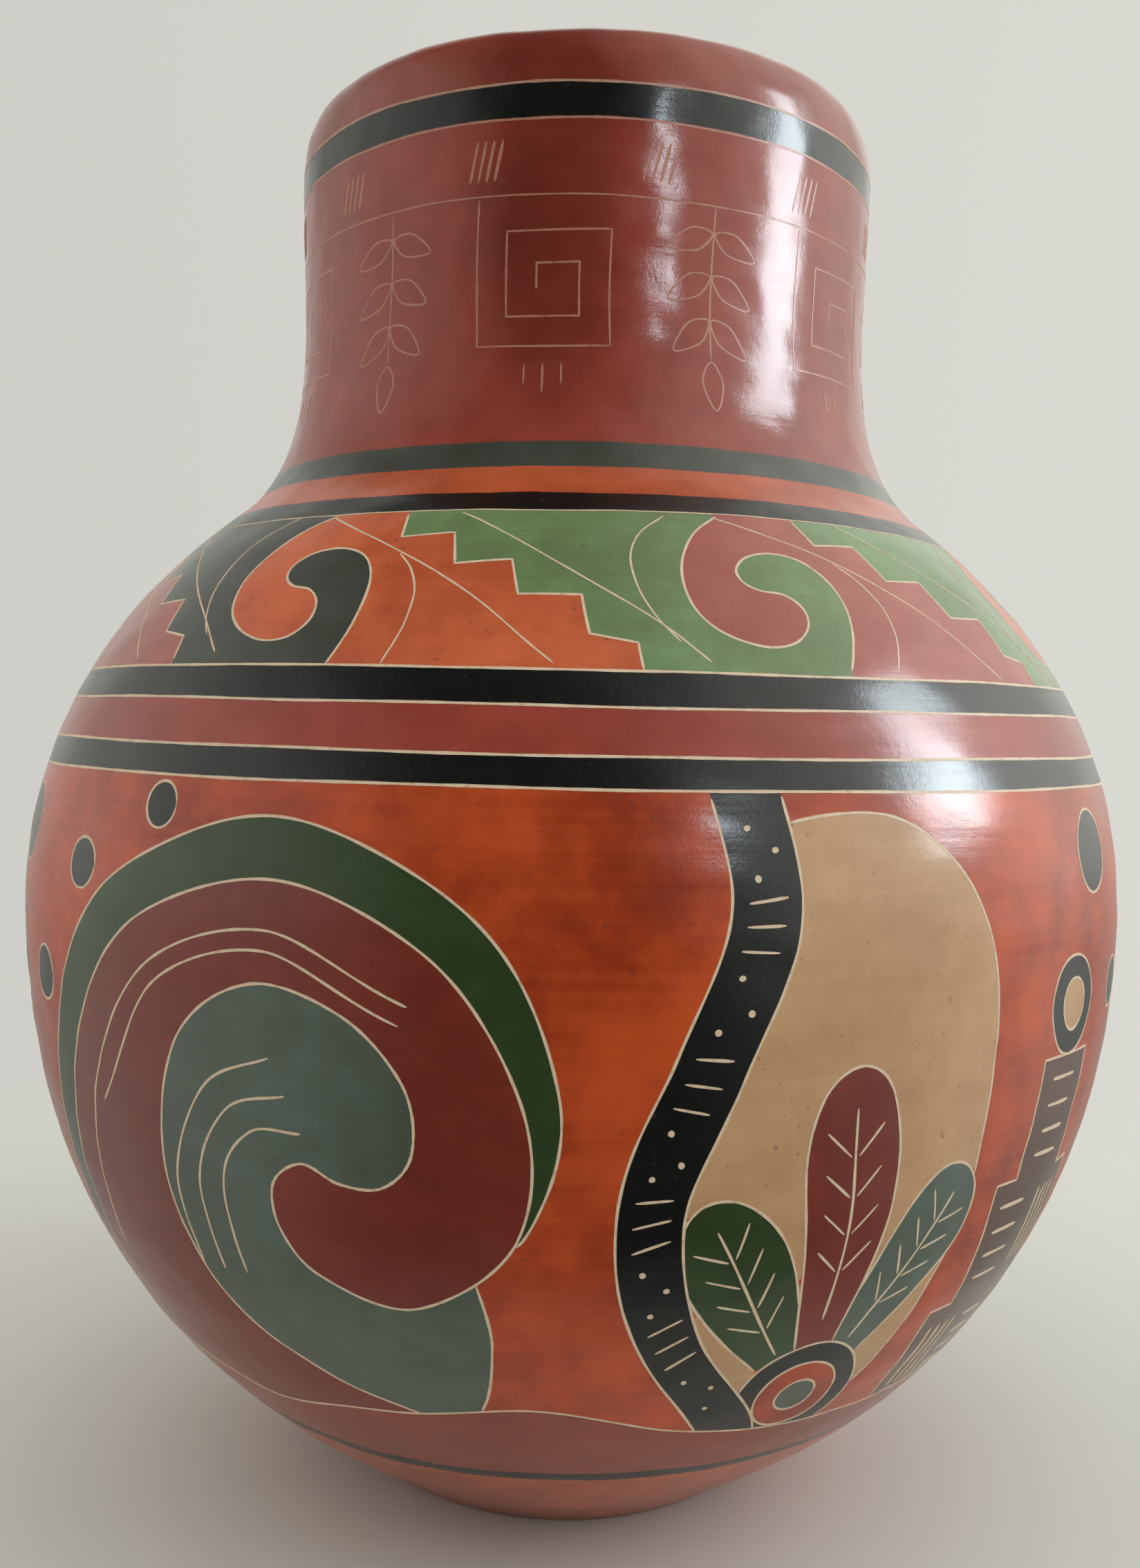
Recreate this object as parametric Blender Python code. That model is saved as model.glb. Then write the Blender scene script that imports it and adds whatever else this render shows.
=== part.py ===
"""A round-bellied burnished clay vase, built up in the five sections that its potter joins.

The sections stand on one another: a base dish, a belly bowl, a shoulder dome, a neck collar
and a rolled lip. Each section ends at the top in a V groove, and the next one starts with a
V tongue that sits in that groove on a thin bed of joining slip. All five are turned about Z.

Metres, +Z up, with the origin at the centre of the flat face that the vase rests on.
"""

import math

import bmesh
import bpy
import numpy as np

# Outside of the wall: radii, and the rise from each station to the next one up.
BASE_RADIUS = 0.039  # edge of the flat resting face
BELLY_RADIUS = 0.103  # widest point
BELLY_HEIGHT = 0.109  # widest point above the resting face
SHOULDER_RISE = 0.0695  # widest point to the break between shoulder and neck
ROOT_RISE = 0.0355  # shoulder break to the narrowest point of the neck
NECK_RISE = 0.0309  # narrowest point of the neck to the widest point of the rim
LIP_RISE = 0.0101  # widest point of the rim to the crest of the lip
WAIST_RADIUS = 0.0541  # narrowest point of the neck
ROOT_FLARE = 0.0129  # how far the shoulder break stands out from the waist
RIM_RADIUS = 0.0549  # widest point of the rim
LIP_OUTER_ROUND = 0.0052  # how far the crest of the lip stands in from the rim
SHOULDER_LEAN = math.radians(52.2)  # lean of the wall from upright at the shoulder break

# Fullness of each curve, as the share of its own span that its handle reaches.
FOOT_REACH = 0.22
FOOT_LIFT = 0.11
LOWER_FULLNESS = 0.68
UPPER_FULLNESS = 0.39
SHOULDER_FULLNESS = 0.667
ROOT_TIGHTNESS = 0.70
ROOT_EASE = 0.507
NECK_EASE = 0.33

# Thickness of the fired clay.
FLOOR_THICKNESS = 0.0085
FOOT_WALL = 0.0080
BELLY_WALL = 0.0065
WAIST_WALL = 0.0070
RIM_WALL = 0.0085

# Joints between sections: where they lie, and the V tongue in its groove.
BASE_JOINT_HEIGHT = 0.0245  # above the resting face
SHOULDER_JOINT_RISE = 0.0248  # above the widest point
NECK_JOINT_RISE = 0.0084  # above the shoulder break
TONGUE_WIDTH = 0.0026
TONGUE_DEPTH = 0.0012
SLIP_BED = 0.0004  # thickness of the joining slip, measured along the wall

# Facets.
FACETS_ROUND = 60
CURVE_SAMPLES = 160
WALL_STEP = 0.0105  # longest stretch of wall between two points of a half-section
LIP_POINTS = 5
SMOOTH_ANGLE = math.radians(32)

# Fired slip colours (linear), one for each section, and the polish they share.
SECTION_COLOURS = {
    "base_dish": (0.36, 0.085, 0.035),
    "belly_bowl": (0.42, 0.100, 0.032),
    "shoulder_dome": (0.060, 0.125, 0.050),
    "neck_collar": (0.165, 0.030, 0.022),
    "rolled_lip": (0.230, 0.050, 0.035),
}
POLISH_ROUGHNESS = 0.28


def bezier(start, start_handle, end_handle, end):
    """Points of one cubic curve, without its last point."""
    t = np.linspace(0.0, 1.0, CURVE_SAMPLES, endpoint=False)[:, None]
    corners = [np.array(point) for point in (start, start_handle, end_handle, end)]
    weights = ((1 - t) ** 3, 3 * t * (1 - t) ** 2, 3 * t**2 * (1 - t), t**3)
    return sum(weight * corner for weight, corner in zip(weights, corners))


BREAK_HEIGHT = BELLY_HEIGHT + SHOULDER_RISE
WAIST_HEIGHT = BREAK_HEIGHT + ROOT_RISE
RIM_HEIGHT = WAIST_HEIGHT + NECK_RISE
BREAK_RADIUS = WAIST_RADIUS + ROOT_FLARE
SHOULDER_JOINT_HEIGHT = BELLY_HEIGHT + SHOULDER_JOINT_RISE
NECK_JOINT_HEIGHT = BREAK_HEIGHT + NECK_JOINT_RISE
STATIONS = (BELLY_HEIGHT, BREAK_HEIGHT, WAIST_HEIGHT)


def outer_wall():
    """Outside of the wall from the resting face to the rim, as dense (radius, height) points."""
    base = (BASE_RADIUS, 0.0)
    belly = (BELLY_RADIUS, BELLY_HEIGHT)
    shoulder_break = (BREAK_RADIUS, BREAK_HEIGHT)
    waist = (WAIST_RADIUS, WAIST_HEIGHT)
    rim = (RIM_RADIUS, RIM_HEIGHT)

    foot_out = FOOT_REACH * (BELLY_RADIUS - BASE_RADIUS)
    foot_handle = (BASE_RADIUS + foot_out, FOOT_LIFT * BELLY_HEIGHT)
    under_belly = (BELLY_RADIUS, BELLY_HEIGHT * (1 - LOWER_FULLNESS))

    over_belly = (BELLY_RADIUS, BELLY_HEIGHT + UPPER_FULLNESS * SHOULDER_RISE)
    shoulder_out = SHOULDER_FULLNESS * (BELLY_RADIUS - BREAK_RADIUS)
    shoulder_down = shoulder_out / math.tan(SHOULDER_LEAN)
    under_break = (BREAK_RADIUS + shoulder_out, BREAK_HEIGHT - shoulder_down)

    root_in = ROOT_TIGHTNESS * ROOT_FLARE
    over_break = (BREAK_RADIUS - root_in, BREAK_HEIGHT + root_in / math.tan(SHOULDER_LEAN))
    under_waist = (WAIST_RADIUS, WAIST_HEIGHT - ROOT_EASE * ROOT_RISE)

    over_waist = (WAIST_RADIUS, WAIST_HEIGHT + NECK_EASE * NECK_RISE)
    under_rim = (RIM_RADIUS, RIM_HEIGHT - NECK_EASE * NECK_RISE)
    return np.vstack(
        [
            bezier(base, foot_handle, under_belly, belly),
            bezier(belly, over_belly, under_break, shoulder_break),
            bezier(shoulder_break, over_break, under_waist, waist),
            bezier(waist, over_waist, under_rim, rim),
            [rim],
        ]
    )


OUTER = outer_wall()
OUTER_RUN = np.append(0.0, np.cumsum(np.linalg.norm(np.diff(OUTER, axis=0), axis=1)))
OUTER_UP = np.gradient(OUTER, OUTER_RUN, axis=0)


def run_at(height):
    """Distance along the outside from the resting face to a height."""
    return np.interp(height, OUTER[:, 1], OUTER_RUN)


def wall_at(run):
    """Outer point, unit vector up the wall, unit vector out of it, and thickness, at a run."""
    point = np.array([np.interp(run, OUTER_RUN, column) for column in OUTER.T])
    up = np.array([np.interp(run, OUTER_RUN, column) for column in OUTER_UP.T])
    up /= np.linalg.norm(up)
    out = np.array([up[1], -up[0]])
    stations = (0.0, BELLY_HEIGHT, WAIST_HEIGHT, RIM_HEIGHT)
    walls = (FOOT_WALL, BELLY_WALL, WAIST_WALL, RIM_WALL)
    return point, up, out, np.interp(point[1], stations, walls)


def joint_face(height, lift):
    """Half-section of a joint from outside to inside, raised along the wall by lift."""
    point, up, out, wall = wall_at(run_at(height))
    steps = (
        (0.0, 0.0),
        ((wall - TONGUE_WIDTH) / 2, 0.0),
        (wall / 2, -TONGUE_DEPTH),
        ((wall + TONGUE_WIDTH) / 2, 0.0),
        (wall, 0.0),
    )
    return [point - depth * out + (rise + lift) * up for depth, rise in steps]


def wall_between(low, high):
    """Outer and inner points strictly between two heights, from low to high."""
    stops = [low, *(height for height in STATIONS if low < height < high), high]
    runs = []
    for first, last in zip(run_at(stops[:-1]), run_at(stops[1:])):
        spans = math.ceil((last - first) / WALL_STEP)
        runs.extend(np.linspace(first, last, spans + 1)[1:])
    outer, inner = [], []
    for run in runs[:-1]:
        point, _, out, wall = wall_at(run)
        outer.append(point)
        inner.append(point - wall * out)
    return outer, inner


def ring_section(low, high):
    """Half-section of a section that has a joint at its lower and at its upper edge."""
    outer, inner = wall_between(low, high)
    lower = joint_face(low, SLIP_BED)
    upper = joint_face(high, 0.0)
    return [*outer[::-1], *lower, *inner, *upper[::-1]]


def base_section():
    """Half-section of the base dish: its foot, its flat underside, its floor and its joint."""
    outer, inner = wall_between(0.0, BASE_JOINT_HEIGHT)
    upper = joint_face(BASE_JOINT_HEIGHT, 0.0)
    foot, _, foot_out, foot_wall = wall_at(0.0)
    inner = [foot - foot_wall * foot_out, *inner]
    radii, heights = np.transpose([*inner, upper[-1]])
    floor_edge = (np.interp(FLOOR_THICKNESS, heights, radii), FLOOR_THICKNESS)
    above_floor = [point for point in inner if point[1] > FLOOR_THICKNESS]
    underside = [(BASE_RADIUS, 0.0), (0.0, 0.0)]
    floor = [(0.0, FLOOR_THICKNESS), floor_edge]
    return [*outer[::-1], *underside, *floor, *above_floor, *upper[::-1]]


def lip_section():
    """Half-section of the rolled lip: two elliptic quarters that meet at the crest."""
    lower = joint_face(RIM_HEIGHT, SLIP_BED)
    inner_round = RIM_WALL - LIP_OUTER_ROUND
    crest_radius = RIM_RADIUS - LIP_OUTER_ROUND
    turns = np.linspace(0.0, math.pi, 2 * LIP_POINTS + 1)[1:-1]
    reach = np.where(turns < math.pi / 2, LIP_OUTER_ROUND, inner_round)
    radius = crest_radius + reach * np.cos(turns)
    height = RIM_HEIGHT + LIP_RISE * np.sin(turns)
    crest = np.column_stack([radius, height])
    return [*crest[turns <= math.pi / 2][::-1], *lower, *crest[turns > math.pi / 2][::-1]]


def turn(name, half_section):
    """One closed solid: the half-section as a loop of edges, spun once round Z."""
    shape = bmesh.new()
    points = [shape.verts.new((radius, 0.0, height)) for radius, height in half_section]
    loop = [shape.edges.new(pair) for pair in zip(points, points[1:] + points[:1])]
    bmesh.ops.spin(
        shape,
        geom=points + loop,
        cent=(0.0, 0.0, 0.0),
        axis=(0.0, 0.0, 1.0),
        angle=math.tau,
        steps=FACETS_ROUND,
        use_merge=True,
    )
    bmesh.ops.remove_doubles(shape, verts=shape.verts, dist=1e-6)
    bmesh.ops.dissolve_degenerate(shape, edges=shape.edges, dist=1e-7)
    on_axis = [edge for edge in shape.edges if not edge.link_faces]
    bmesh.ops.delete(shape, geom=on_axis, context="EDGES")
    bmesh.ops.recalc_face_normals(shape, faces=shape.faces)
    mesh = bpy.data.meshes.new(name)
    shape.to_mesh(mesh)
    shape.free()
    mesh.shade_smooth()
    mesh.set_sharp_from_angle(angle=SMOOTH_ANGLE)
    return bpy.data.objects.new(name, mesh)


def slip_material(name, colour):
    """Burnished slip in one colour."""
    material = bpy.data.materials.new(name + "_slip")
    material.use_nodes = True
    surface = material.node_tree.nodes["Principled BSDF"]
    surface.inputs["Base Color"].default_value = (*colour, 1.0)
    surface.inputs["Roughness"].default_value = POLISH_ROUGHNESS
    surface.inputs["Metallic"].default_value = 0.0
    return material


def main():
    """Clears the scene, turns the five sections and stands them on one empty."""
    for old in list(bpy.data.objects):
        bpy.data.objects.remove(old)
    half_sections = {
        "base_dish": base_section(),
        "belly_bowl": ring_section(BASE_JOINT_HEIGHT, SHOULDER_JOINT_HEIGHT),
        "shoulder_dome": ring_section(SHOULDER_JOINT_HEIGHT, NECK_JOINT_HEIGHT),
        "neck_collar": ring_section(NECK_JOINT_HEIGHT, RIM_HEIGHT),
        "rolled_lip": lip_section(),
    }
    vase = bpy.data.objects.new("vase", None)
    bpy.context.scene.collection.objects.link(vase)
    for name, half_section in half_sections.items():
        section = turn(name, half_section)
        section.parent = vase
        section.data.materials.append(slip_material(name, SECTION_COLOURS[name]))
        bpy.context.scene.collection.objects.link(section)


main()
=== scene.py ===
"""Looks of a round-bellied burnished clay vase with painted slips and scribed lines.

Five turned sections replace the frame's nodes. Each one carries the edges of its painted slips as
distance fields on its points, and its scribed lines lie on it as fine beads with a hollow top.
Metres, +Z up, and the side that the camera sees faces -Y. Drawings on the wall are in millimetres.
"""

import logging
import math
from collections.abc import Mapping, Sequence
from dataclasses import dataclass, field
from enum import Enum
from functools import cached_property
from typing import Any

import bpy
import numpy as np
from mathutils import Matrix


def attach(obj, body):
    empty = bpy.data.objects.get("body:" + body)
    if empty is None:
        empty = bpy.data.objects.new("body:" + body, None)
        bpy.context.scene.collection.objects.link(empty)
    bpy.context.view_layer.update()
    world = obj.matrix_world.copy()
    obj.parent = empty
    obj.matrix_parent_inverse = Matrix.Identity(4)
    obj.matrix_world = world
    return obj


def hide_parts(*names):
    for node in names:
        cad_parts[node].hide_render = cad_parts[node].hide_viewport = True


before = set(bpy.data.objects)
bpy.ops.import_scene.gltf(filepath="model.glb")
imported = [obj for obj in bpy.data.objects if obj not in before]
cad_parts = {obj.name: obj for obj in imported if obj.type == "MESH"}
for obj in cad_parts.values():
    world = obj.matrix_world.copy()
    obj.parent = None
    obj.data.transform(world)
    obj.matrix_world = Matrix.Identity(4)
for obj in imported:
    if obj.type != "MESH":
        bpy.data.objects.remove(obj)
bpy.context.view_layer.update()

Array = np.ndarray
Point = tuple[float, float]
Colour = tuple[float, float, float]
Fields = dict["Slip", Array]
Line = Sequence[Point] | Sequence[Array] | Array

MM = 0.001
REACH = 4.0  # millimetres from an edge past which a slip's field stays the same
SPACING = 0.8  # millimetres between neighbouring points of a drawn line, at most
log = logging.getLogger("vase")


class Slip(Enum):
    """Coloured slips, each with its fired colour in linear light."""

    BRICK = (0.258, 0.046, 0.026)
    WINE = (0.275, 0.038, 0.021)
    # Maroon is real paint on the belly and also the colour of the painted shade on lip and neck.
    MAROON = (0.185, 0.025, 0.014)
    CRIMSON = (0.315, 0.045, 0.026)
    ROSE = (0.385, 0.094, 0.070)
    ORANGE = (0.435, 0.053, 0.0078)
    EMBER = (0.560, 0.108, 0.034)
    RUST = (0.440, 0.080, 0.025)
    BLACK = (0.0042, 0.0044, 0.0038)
    SOOT = (0.046, 0.051, 0.038)
    GREEN = (0.152, 0.245, 0.098)
    DARK_GREEN = (0.028, 0.054, 0.015)
    GREY_GREEN = (0.082, 0.110, 0.085)
    CREAM = (0.510, 0.295, 0.150)
    BROWN = (0.100, 0.049, 0.030)

    @property
    def field_name(self) -> str:
        """Name of the point attribute that holds this slip's field."""
        return "slip_" + self.name.lower()


@dataclass(frozen=True)
class TurnedWall:
    """The half-section that all five sections share.

    Its outside line runs from the underside's centre, out to the foot, up the wall and over the lip to
    the lip's inner edge. A run is a distance along that line, and the wall lies behind it. A rise is the
    height of one curve of the line, and a handle is given as a share of the curve's width or rise.

    Attributes:
        root_flare: How far the neck's root widens down to the shoulder's break.
        lip_outer_round: How far the lip's crest lies inside the rim.
        lip_power: Power of the lip's sine and cosine; below 1, its corner is fuller than an ellipse's.
        shoulder_lean: Angle of the shoulder from upright at its break.
        joint_hollow: How far the middle of a joint face lies behind its edges.
        foot_line: Heights of the painted line that laps over the base's joint.
        root_black_low: Height of the lower edge of the soft black band that ends at the neck's joint.
        foot_handle: Shares out and up of the handle at the foot.
        belly_handles: Shares of the handles below and above the belly.
        break_handles: Shares of the handles below and above the shoulder's break.
        waist_handles: Shares of the handles below and above the waist.
        rim_handle: Share of the handle below the rim.
        samples: Points on each curve.
        lip_samples: Points on the lip.
        underside_samples: Points on the underside.
    """

    base_radius: float = 0.039
    belly_radius: float = 0.103
    belly_height: float = 0.109
    shoulder_rise: float = 0.0695
    root_rise: float = 0.0355
    neck_rise: float = 0.0309
    lip_rise: float = 0.0101
    waist_radius: float = 0.0541
    root_flare: float = 0.0129
    rim_radius: float = 0.0549
    lip_outer_round: float = 0.0052
    lip_power: float = 0.93
    shoulder_lean: float = math.radians(52.2)
    floor_thickness: float = 0.0085
    foot_wall: float = 0.0080
    belly_wall: float = 0.0065
    waist_wall: float = 0.0070
    rim_wall: float = 0.0085
    base_joint: float = 0.0245
    shoulder_joint: float = 0.1338
    neck_joint: float = 0.1869
    joint_hollow: float = 0.00015
    foot_line: tuple[float, float] = (0.0241, 0.0262)
    root_black_low: float = 0.1825
    foot_handle: Point = (0.22, 0.11)
    belly_handles: Point = (0.32, 0.39)
    break_handles: Point = (0.667, 0.70)
    waist_handles: Point = (0.507, 0.33)
    rim_handle: float = 0.33
    samples: int = 200
    lip_samples: int = 201
    underside_samples: int = 40

    def curve(self, start: Point, start_handle: Point, end_handle: Point, end: Point) -> Array:
        """Cubic curve between two points with a handle at each, without its last point.

        Args:
            start: Radius and height where the curve starts.
            start_handle: Point that the curve leaves towards.
            end_handle: Point that the curve arrives from.
            end: Radius and height where the curve ends.

        Returns:
            Array of (radius, height) rows.
        """
        t = np.linspace(0.0, 1.0, self.samples, endpoint=False)[:, None]
        weights = ((1 - t) ** 3, 3 * t * (1 - t) ** 2, 3 * t**2 * (1 - t), t**3)
        return sum(w * np.array(p) for w, p in zip(weights, (start, start_handle, end_handle, end)))

    @property
    def rim_height(self) -> float:
        """Height of the rim's widest point, where the lip starts."""
        return self.belly_height + self.shoulder_rise + self.root_rise + self.neck_rise

    @cached_property
    def outside(self) -> Array:
        """The outside line: underside, four cubic curves up to the rim, and the lip's two quarters.

        A lip quarter is an ellipse whose sine and cosine are raised to a power.
        """
        lean = math.tan(self.shoulder_lean)
        break_radius = self.waist_radius + self.root_flare
        break_height = self.belly_height + self.shoulder_rise
        waist_height = break_height + self.root_rise
        base, belly = (self.base_radius, 0.0), (self.belly_radius, self.belly_height)
        shoulder_break, waist = (break_radius, break_height), (self.waist_radius, waist_height)
        rim = (self.rim_radius, self.rim_height)
        over_foot = (base[0] + self.foot_handle[0] * (belly[0] - base[0]), self.foot_handle[1] * belly[1])
        under_belly = (belly[0], self.belly_handles[0] * belly[1])
        over_belly = (belly[0], belly[1] + self.belly_handles[1] * self.shoulder_rise)
        out = self.break_handles[0] * (belly[0] - break_radius)
        under_break = (break_radius + out, break_height - out / lean)
        back = self.break_handles[1] * self.root_flare
        over_break = (break_radius - back, break_height + back / lean)
        under_waist = (waist[0], waist_height - self.waist_handles[0] * self.root_rise)
        over_waist = (waist[0], waist_height + self.waist_handles[1] * self.neck_rise)
        under_rim = (rim[0], rim[1] - self.rim_handle * self.neck_rise)
        angle = np.linspace(0.0, math.pi, self.lip_samples)
        reach = np.where(angle < math.pi / 2, self.lip_outer_round, self.rim_wall - self.lip_outer_round)
        crest_radius = rim[0] - self.lip_outer_round
        out_share = np.sign(np.cos(angle)) * np.abs(np.cos(angle)) ** self.lip_power
        up_share = np.clip(np.sin(angle), 0.0, 1.0) ** self.lip_power
        lip_line = [crest_radius + reach * out_share, rim[1] + self.lip_rise * up_share]
        underside = np.linspace((0.0, 0.0), base, self.underside_samples, endpoint=False)
        return np.vstack(
            [
                underside,
                self.curve(base, over_foot, under_belly, belly),
                self.curve(belly, over_belly, under_break, shoulder_break),
                self.curve(shoulder_break, over_break, under_waist, waist),
                self.curve(waist, over_waist, under_rim, rim),
                np.column_stack(lip_line),
            ]
        )

    @cached_property
    def runs(self) -> Array:
        """Run of each point of the outside line."""
        return np.append(0.0, np.cumsum(np.linalg.norm(np.diff(self.outside, axis=0), axis=1)))

    @cached_property
    def climb(self) -> Array:
        """Unit vector (radius, height) along the outside line at each of its points."""
        step = np.gradient(self.outside, self.runs, axis=0)
        return step / np.linalg.norm(step, axis=1, keepdims=True)

    def run_at(self, height: float) -> float:
        """Run of a height on the wall below the lip."""
        upright = slice(self.underside_samples, len(self.outside) - self.lip_samples)
        return float(np.interp(height, self.outside[upright, 1], self.runs[upright]))

    def thickness(self, run: Array) -> Array:
        """Thickness of the clay, straight between the floor, foot, belly, waist and rim.

        Args:
            run: Distances along the outside line.

        Returns:
            Thickness at each run.
        """
        heights = (self.belly_height, self.rim_height - self.neck_rise, self.rim_height)
        stations = [0.0, self.base_radius, *map(self.run_at, heights)]
        walls = [self.floor_thickness, self.foot_wall, self.belly_wall, self.waist_wall, self.rim_wall]
        return np.interp(run, stations, walls)

    def waver(self, turn: Array, run: Array) -> Array:
        """How far the hand-made wall strays outwards.

        Three slow waves go round and up it, and the rubbing stone leaves shallow facets: quicker waves, two
        up the wall and two round it, that bend as they go. The underside is flat.

        Args:
            turn: Angles round Z in radians.
            run: Distances along the outside line.

        Returns:
            Distances outwards.
        """
        slow = ((0.00016, 2, 0.6, 18), (0.00009, 5, -1.1, 55), (0.00005, 9, 2.2, -120))
        stray = sum(size * np.sin(around * turn + start + up * run) for size, around, start, up in slow)
        stray = stray + 0.000022 * np.sin(690 * run + 2.6 * np.sin(4 * turn + 60 * run) + 6 * turn)
        stray = stray + 0.000018 * np.sin(430 * run + 3.4 * np.sin(3 * turn - 35 * run) - 11 * turn)
        stray = stray + 0.000032 * np.sin(24 * turn + 2.2 * np.sin(210 * run + 1.0) + 1.3 * np.sin(95 * run))
        stray = stray + 0.000015 * np.sin(44 * turn - 1.9 * np.sin(330 * run + 2.0))
        full_after = 0.02
        return stray * np.clip((run - self.base_radius) / full_after, 0.0, 1.0)

    def normal(self, turn: Array, run: Array) -> Array:
        """Unit normals of the true turned wall: the outside line's climb, turned outwards and swung round Z.

        Args:
            turn: Angles round Z in radians.
            run: Distances along the outside line.

        Returns:
            Array of normals with a last axis of three.
        """
        out = np.interp(run, self.runs, self.climb[:, 1])
        down = np.interp(run, self.runs, self.climb[:, 0])
        return np.stack([out * np.sin(turn), -out * np.cos(turn), -down + 0.0 * turn], axis=-1)

    def place(self, turn: Array, run: Array, lift: Array | float = 0.0) -> Array:
        """Points on the wall.

        The outside line gives a radius and a height at the run. The point is pushed along the line's normal
        by the lift and the waver, and swung round Z. Turn 0 faces -Y, and turns go towards +X.

        Args:
            turn: Angles round Z in radians.
            run: Distances along the outside line.
            lift: Distances outwards from the line.

        Returns:
            Array of points with a last axis of three.
        """
        radius, height = (np.interp(run, self.runs, column) for column in self.outside.T)
        climb_out, climb_up = (np.interp(run, self.runs, column) for column in self.climb.T)
        push = lift + self.waver(turn, run)
        swung = radius + push * climb_up
        return np.stack([swung * np.sin(turn), -swung * np.cos(turn), height - push * climb_out], axis=-1)


def smooth(points: Line, closed: bool = False) -> Array:
    """Curve through points: each span is the cubic whose end slopes are half the step between neighbours.

    Args:
        points: Points that the curve goes through.
        closed: Whether the last point joins the first.

    Returns:
        Array of (x, y) rows, without a repeat of the first point where closed.
    """
    p = np.asarray(points, float)
    if closed:
        p = np.vstack([p[-1:], p, p[:2]])
    else:
        p = np.vstack([2 * p[0] - p[1], p, 2 * p[-1] - p[-2]])
    before, start, end, after = p[:-3], p[1:-2], p[2:-1], p[3:]
    count = max(2, math.ceil(np.linalg.norm(end - start, axis=1).max() / SPACING))
    t = (np.arange(count) / count)[None, :, None]
    b, s, e, a = (q[:, None, :] for q in (before, start, end, after))
    bend = t**2 * (b - 2.5 * s + 2 * e - 0.5 * a) + 0.5 * t**3 * (3 * s - b - 3 * e + a)
    line = (s + 0.5 * t * (e - b) + bend).reshape(-1, 2)
    return line if closed else np.vstack([line, p[-2]])


def straight(points: Line, spacing: float = SPACING) -> Array:
    """Points along straight steps between corners, spaced evenly on each step, with every corner kept.

    Args:
        points: The corners.
        spacing: Longest step between two points of the result.

    Returns:
        Array of (x, y) rows.
    """
    p = np.asarray(points, float)
    count = max(2, math.ceil(np.linalg.norm(np.diff(p, axis=0), axis=1).max() / spacing))
    t = (np.arange(count) / count)[None, :, None]
    return np.vstack([(p[:-1, None] + t * np.diff(p, axis=0)[:, None]).reshape(-1, 2), p[-1]])


def disc(centre: Point, radius: float) -> Array:
    """Closed circle about a centre.

    Args:
        centre: Its centre.
        radius: Its radius in millimetres.

    Returns:
        Array of (x, y) rows, without a repeat of the first point.
    """
    fewest, per_radius = 16, 8
    t = np.linspace(0.0, math.tau, max(fewest, int(radius * per_radius)), endpoint=False)
    return np.column_stack([centre[0] + radius * np.cos(t), centre[1] + radius * np.sin(t)])


def offset(line: Array, distance: Array | float) -> Array:
    """A line moved to its left, along normals from the steps between its points.

    Args:
        line: The line as (x, y) rows.
        distance: How far it moves, for all its points or for each.

    Returns:
        The moved line.
    """
    step = np.gradient(line, axis=0)
    step /= np.linalg.norm(step, axis=1, keepdims=True)
    left = np.column_stack([-step[:, 1], step[:, 0]])
    return line + left * np.broadcast_to(np.asarray(distance, float), len(line))[:, None]


def ribbon(centre: Array, width: float) -> Array:
    """Closed outline of a strip: the centre line moved left, then back along the line moved right."""
    return np.vstack([offset(centre, width / 2), offset(centre, -width / 2)[::-1]])


def signed_distance(outline: Array, x: Array, y: Array) -> Array:
    """Distance from points to a closed outline, negative inside it, and REACH where far outside.

    The distance is the least of those to all edges, each met at the nearest point of the edge. The sign
    comes from how many edges a level line from the point crosses.

    Args:
        outline: Closed outline as (x, y) rows.
        x: Points' x.
        y: Points' y, of the same shape.

    Returns:
        Array of the points' shape.
    """
    result = np.full(x.shape, REACH, np.float32)
    low, high = outline.min(axis=0) - REACH, outline.max(axis=0) + REACH
    near = (x > low[0]) & (x < high[0]) & (y > low[1]) & (y < high[1])
    if not near.any():
        return result
    px, py = (v[near].astype(np.float32)[:, None] for v in (x, y))
    ends = np.roll(outline, -1, axis=0)
    ax, ay, bx, by = (v.astype(np.float32)[None, :] for v in (*outline.T, *ends.T))
    ex, ey = bx - ax, by - ay
    share = np.clip(((px - ax) * ex + (py - ay) * ey) / np.maximum(ex * ex + ey * ey, 1e-9), 0.0, 1.0)
    apart = np.hypot(px - ax - share * ex, py - ay - share * ey).min(axis=1)
    crossing = ((ay > py) != (by > py)) & (px < ax + (py - ay) * ex / np.where(ey == 0, 1e-9, ey))
    inside = crossing.sum(axis=1) % 2 == 1
    result[near] = np.clip(np.where(inside, -apart, apart), -REACH, REACH)
    return result


def hand(x: Array, y: Array) -> tuple[Array, Array]:
    """How far a freehand drawing strays at points: slow waves across and up it.

    Args:
        x: Points' x in millimetres.
        y: Points' y in millimetres.

    Returns:
        Strays to the right and up, in millimetres.
    """
    right = 0.42 * np.sin(y / 6.1 + 0.021 * x + 0.7) + 0.30 * np.sin(x / 9.3 + 1.9)
    up = 0.36 * np.sin(x / 7.7 - 0.3) + 0.24 * np.sin(y / 5.2 + x / 13.0 + 2.1)
    return right, up


@dataclass(frozen=True)
class Patch:
    """One painted shape on the flattened wall.

    Attributes:
        slip: The slip it is painted in.
        outline: Its closed outline.
        lines: Lines scribed along its edge; the whole outline where left out.
    """

    slip: Slip
    outline: Array
    lines: tuple[Array, ...] | None = None


@dataclass(frozen=True)
class Stroke:
    """One scribed line on the wall.

    Attributes:
        turn: Turn of each of its points.
        run: Run of each of its points.
        width: Its width in millimetres.
        closed: Whether its last point joins the first.
    """

    turn: Array
    run: Array
    width: float
    closed: bool = False


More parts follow.
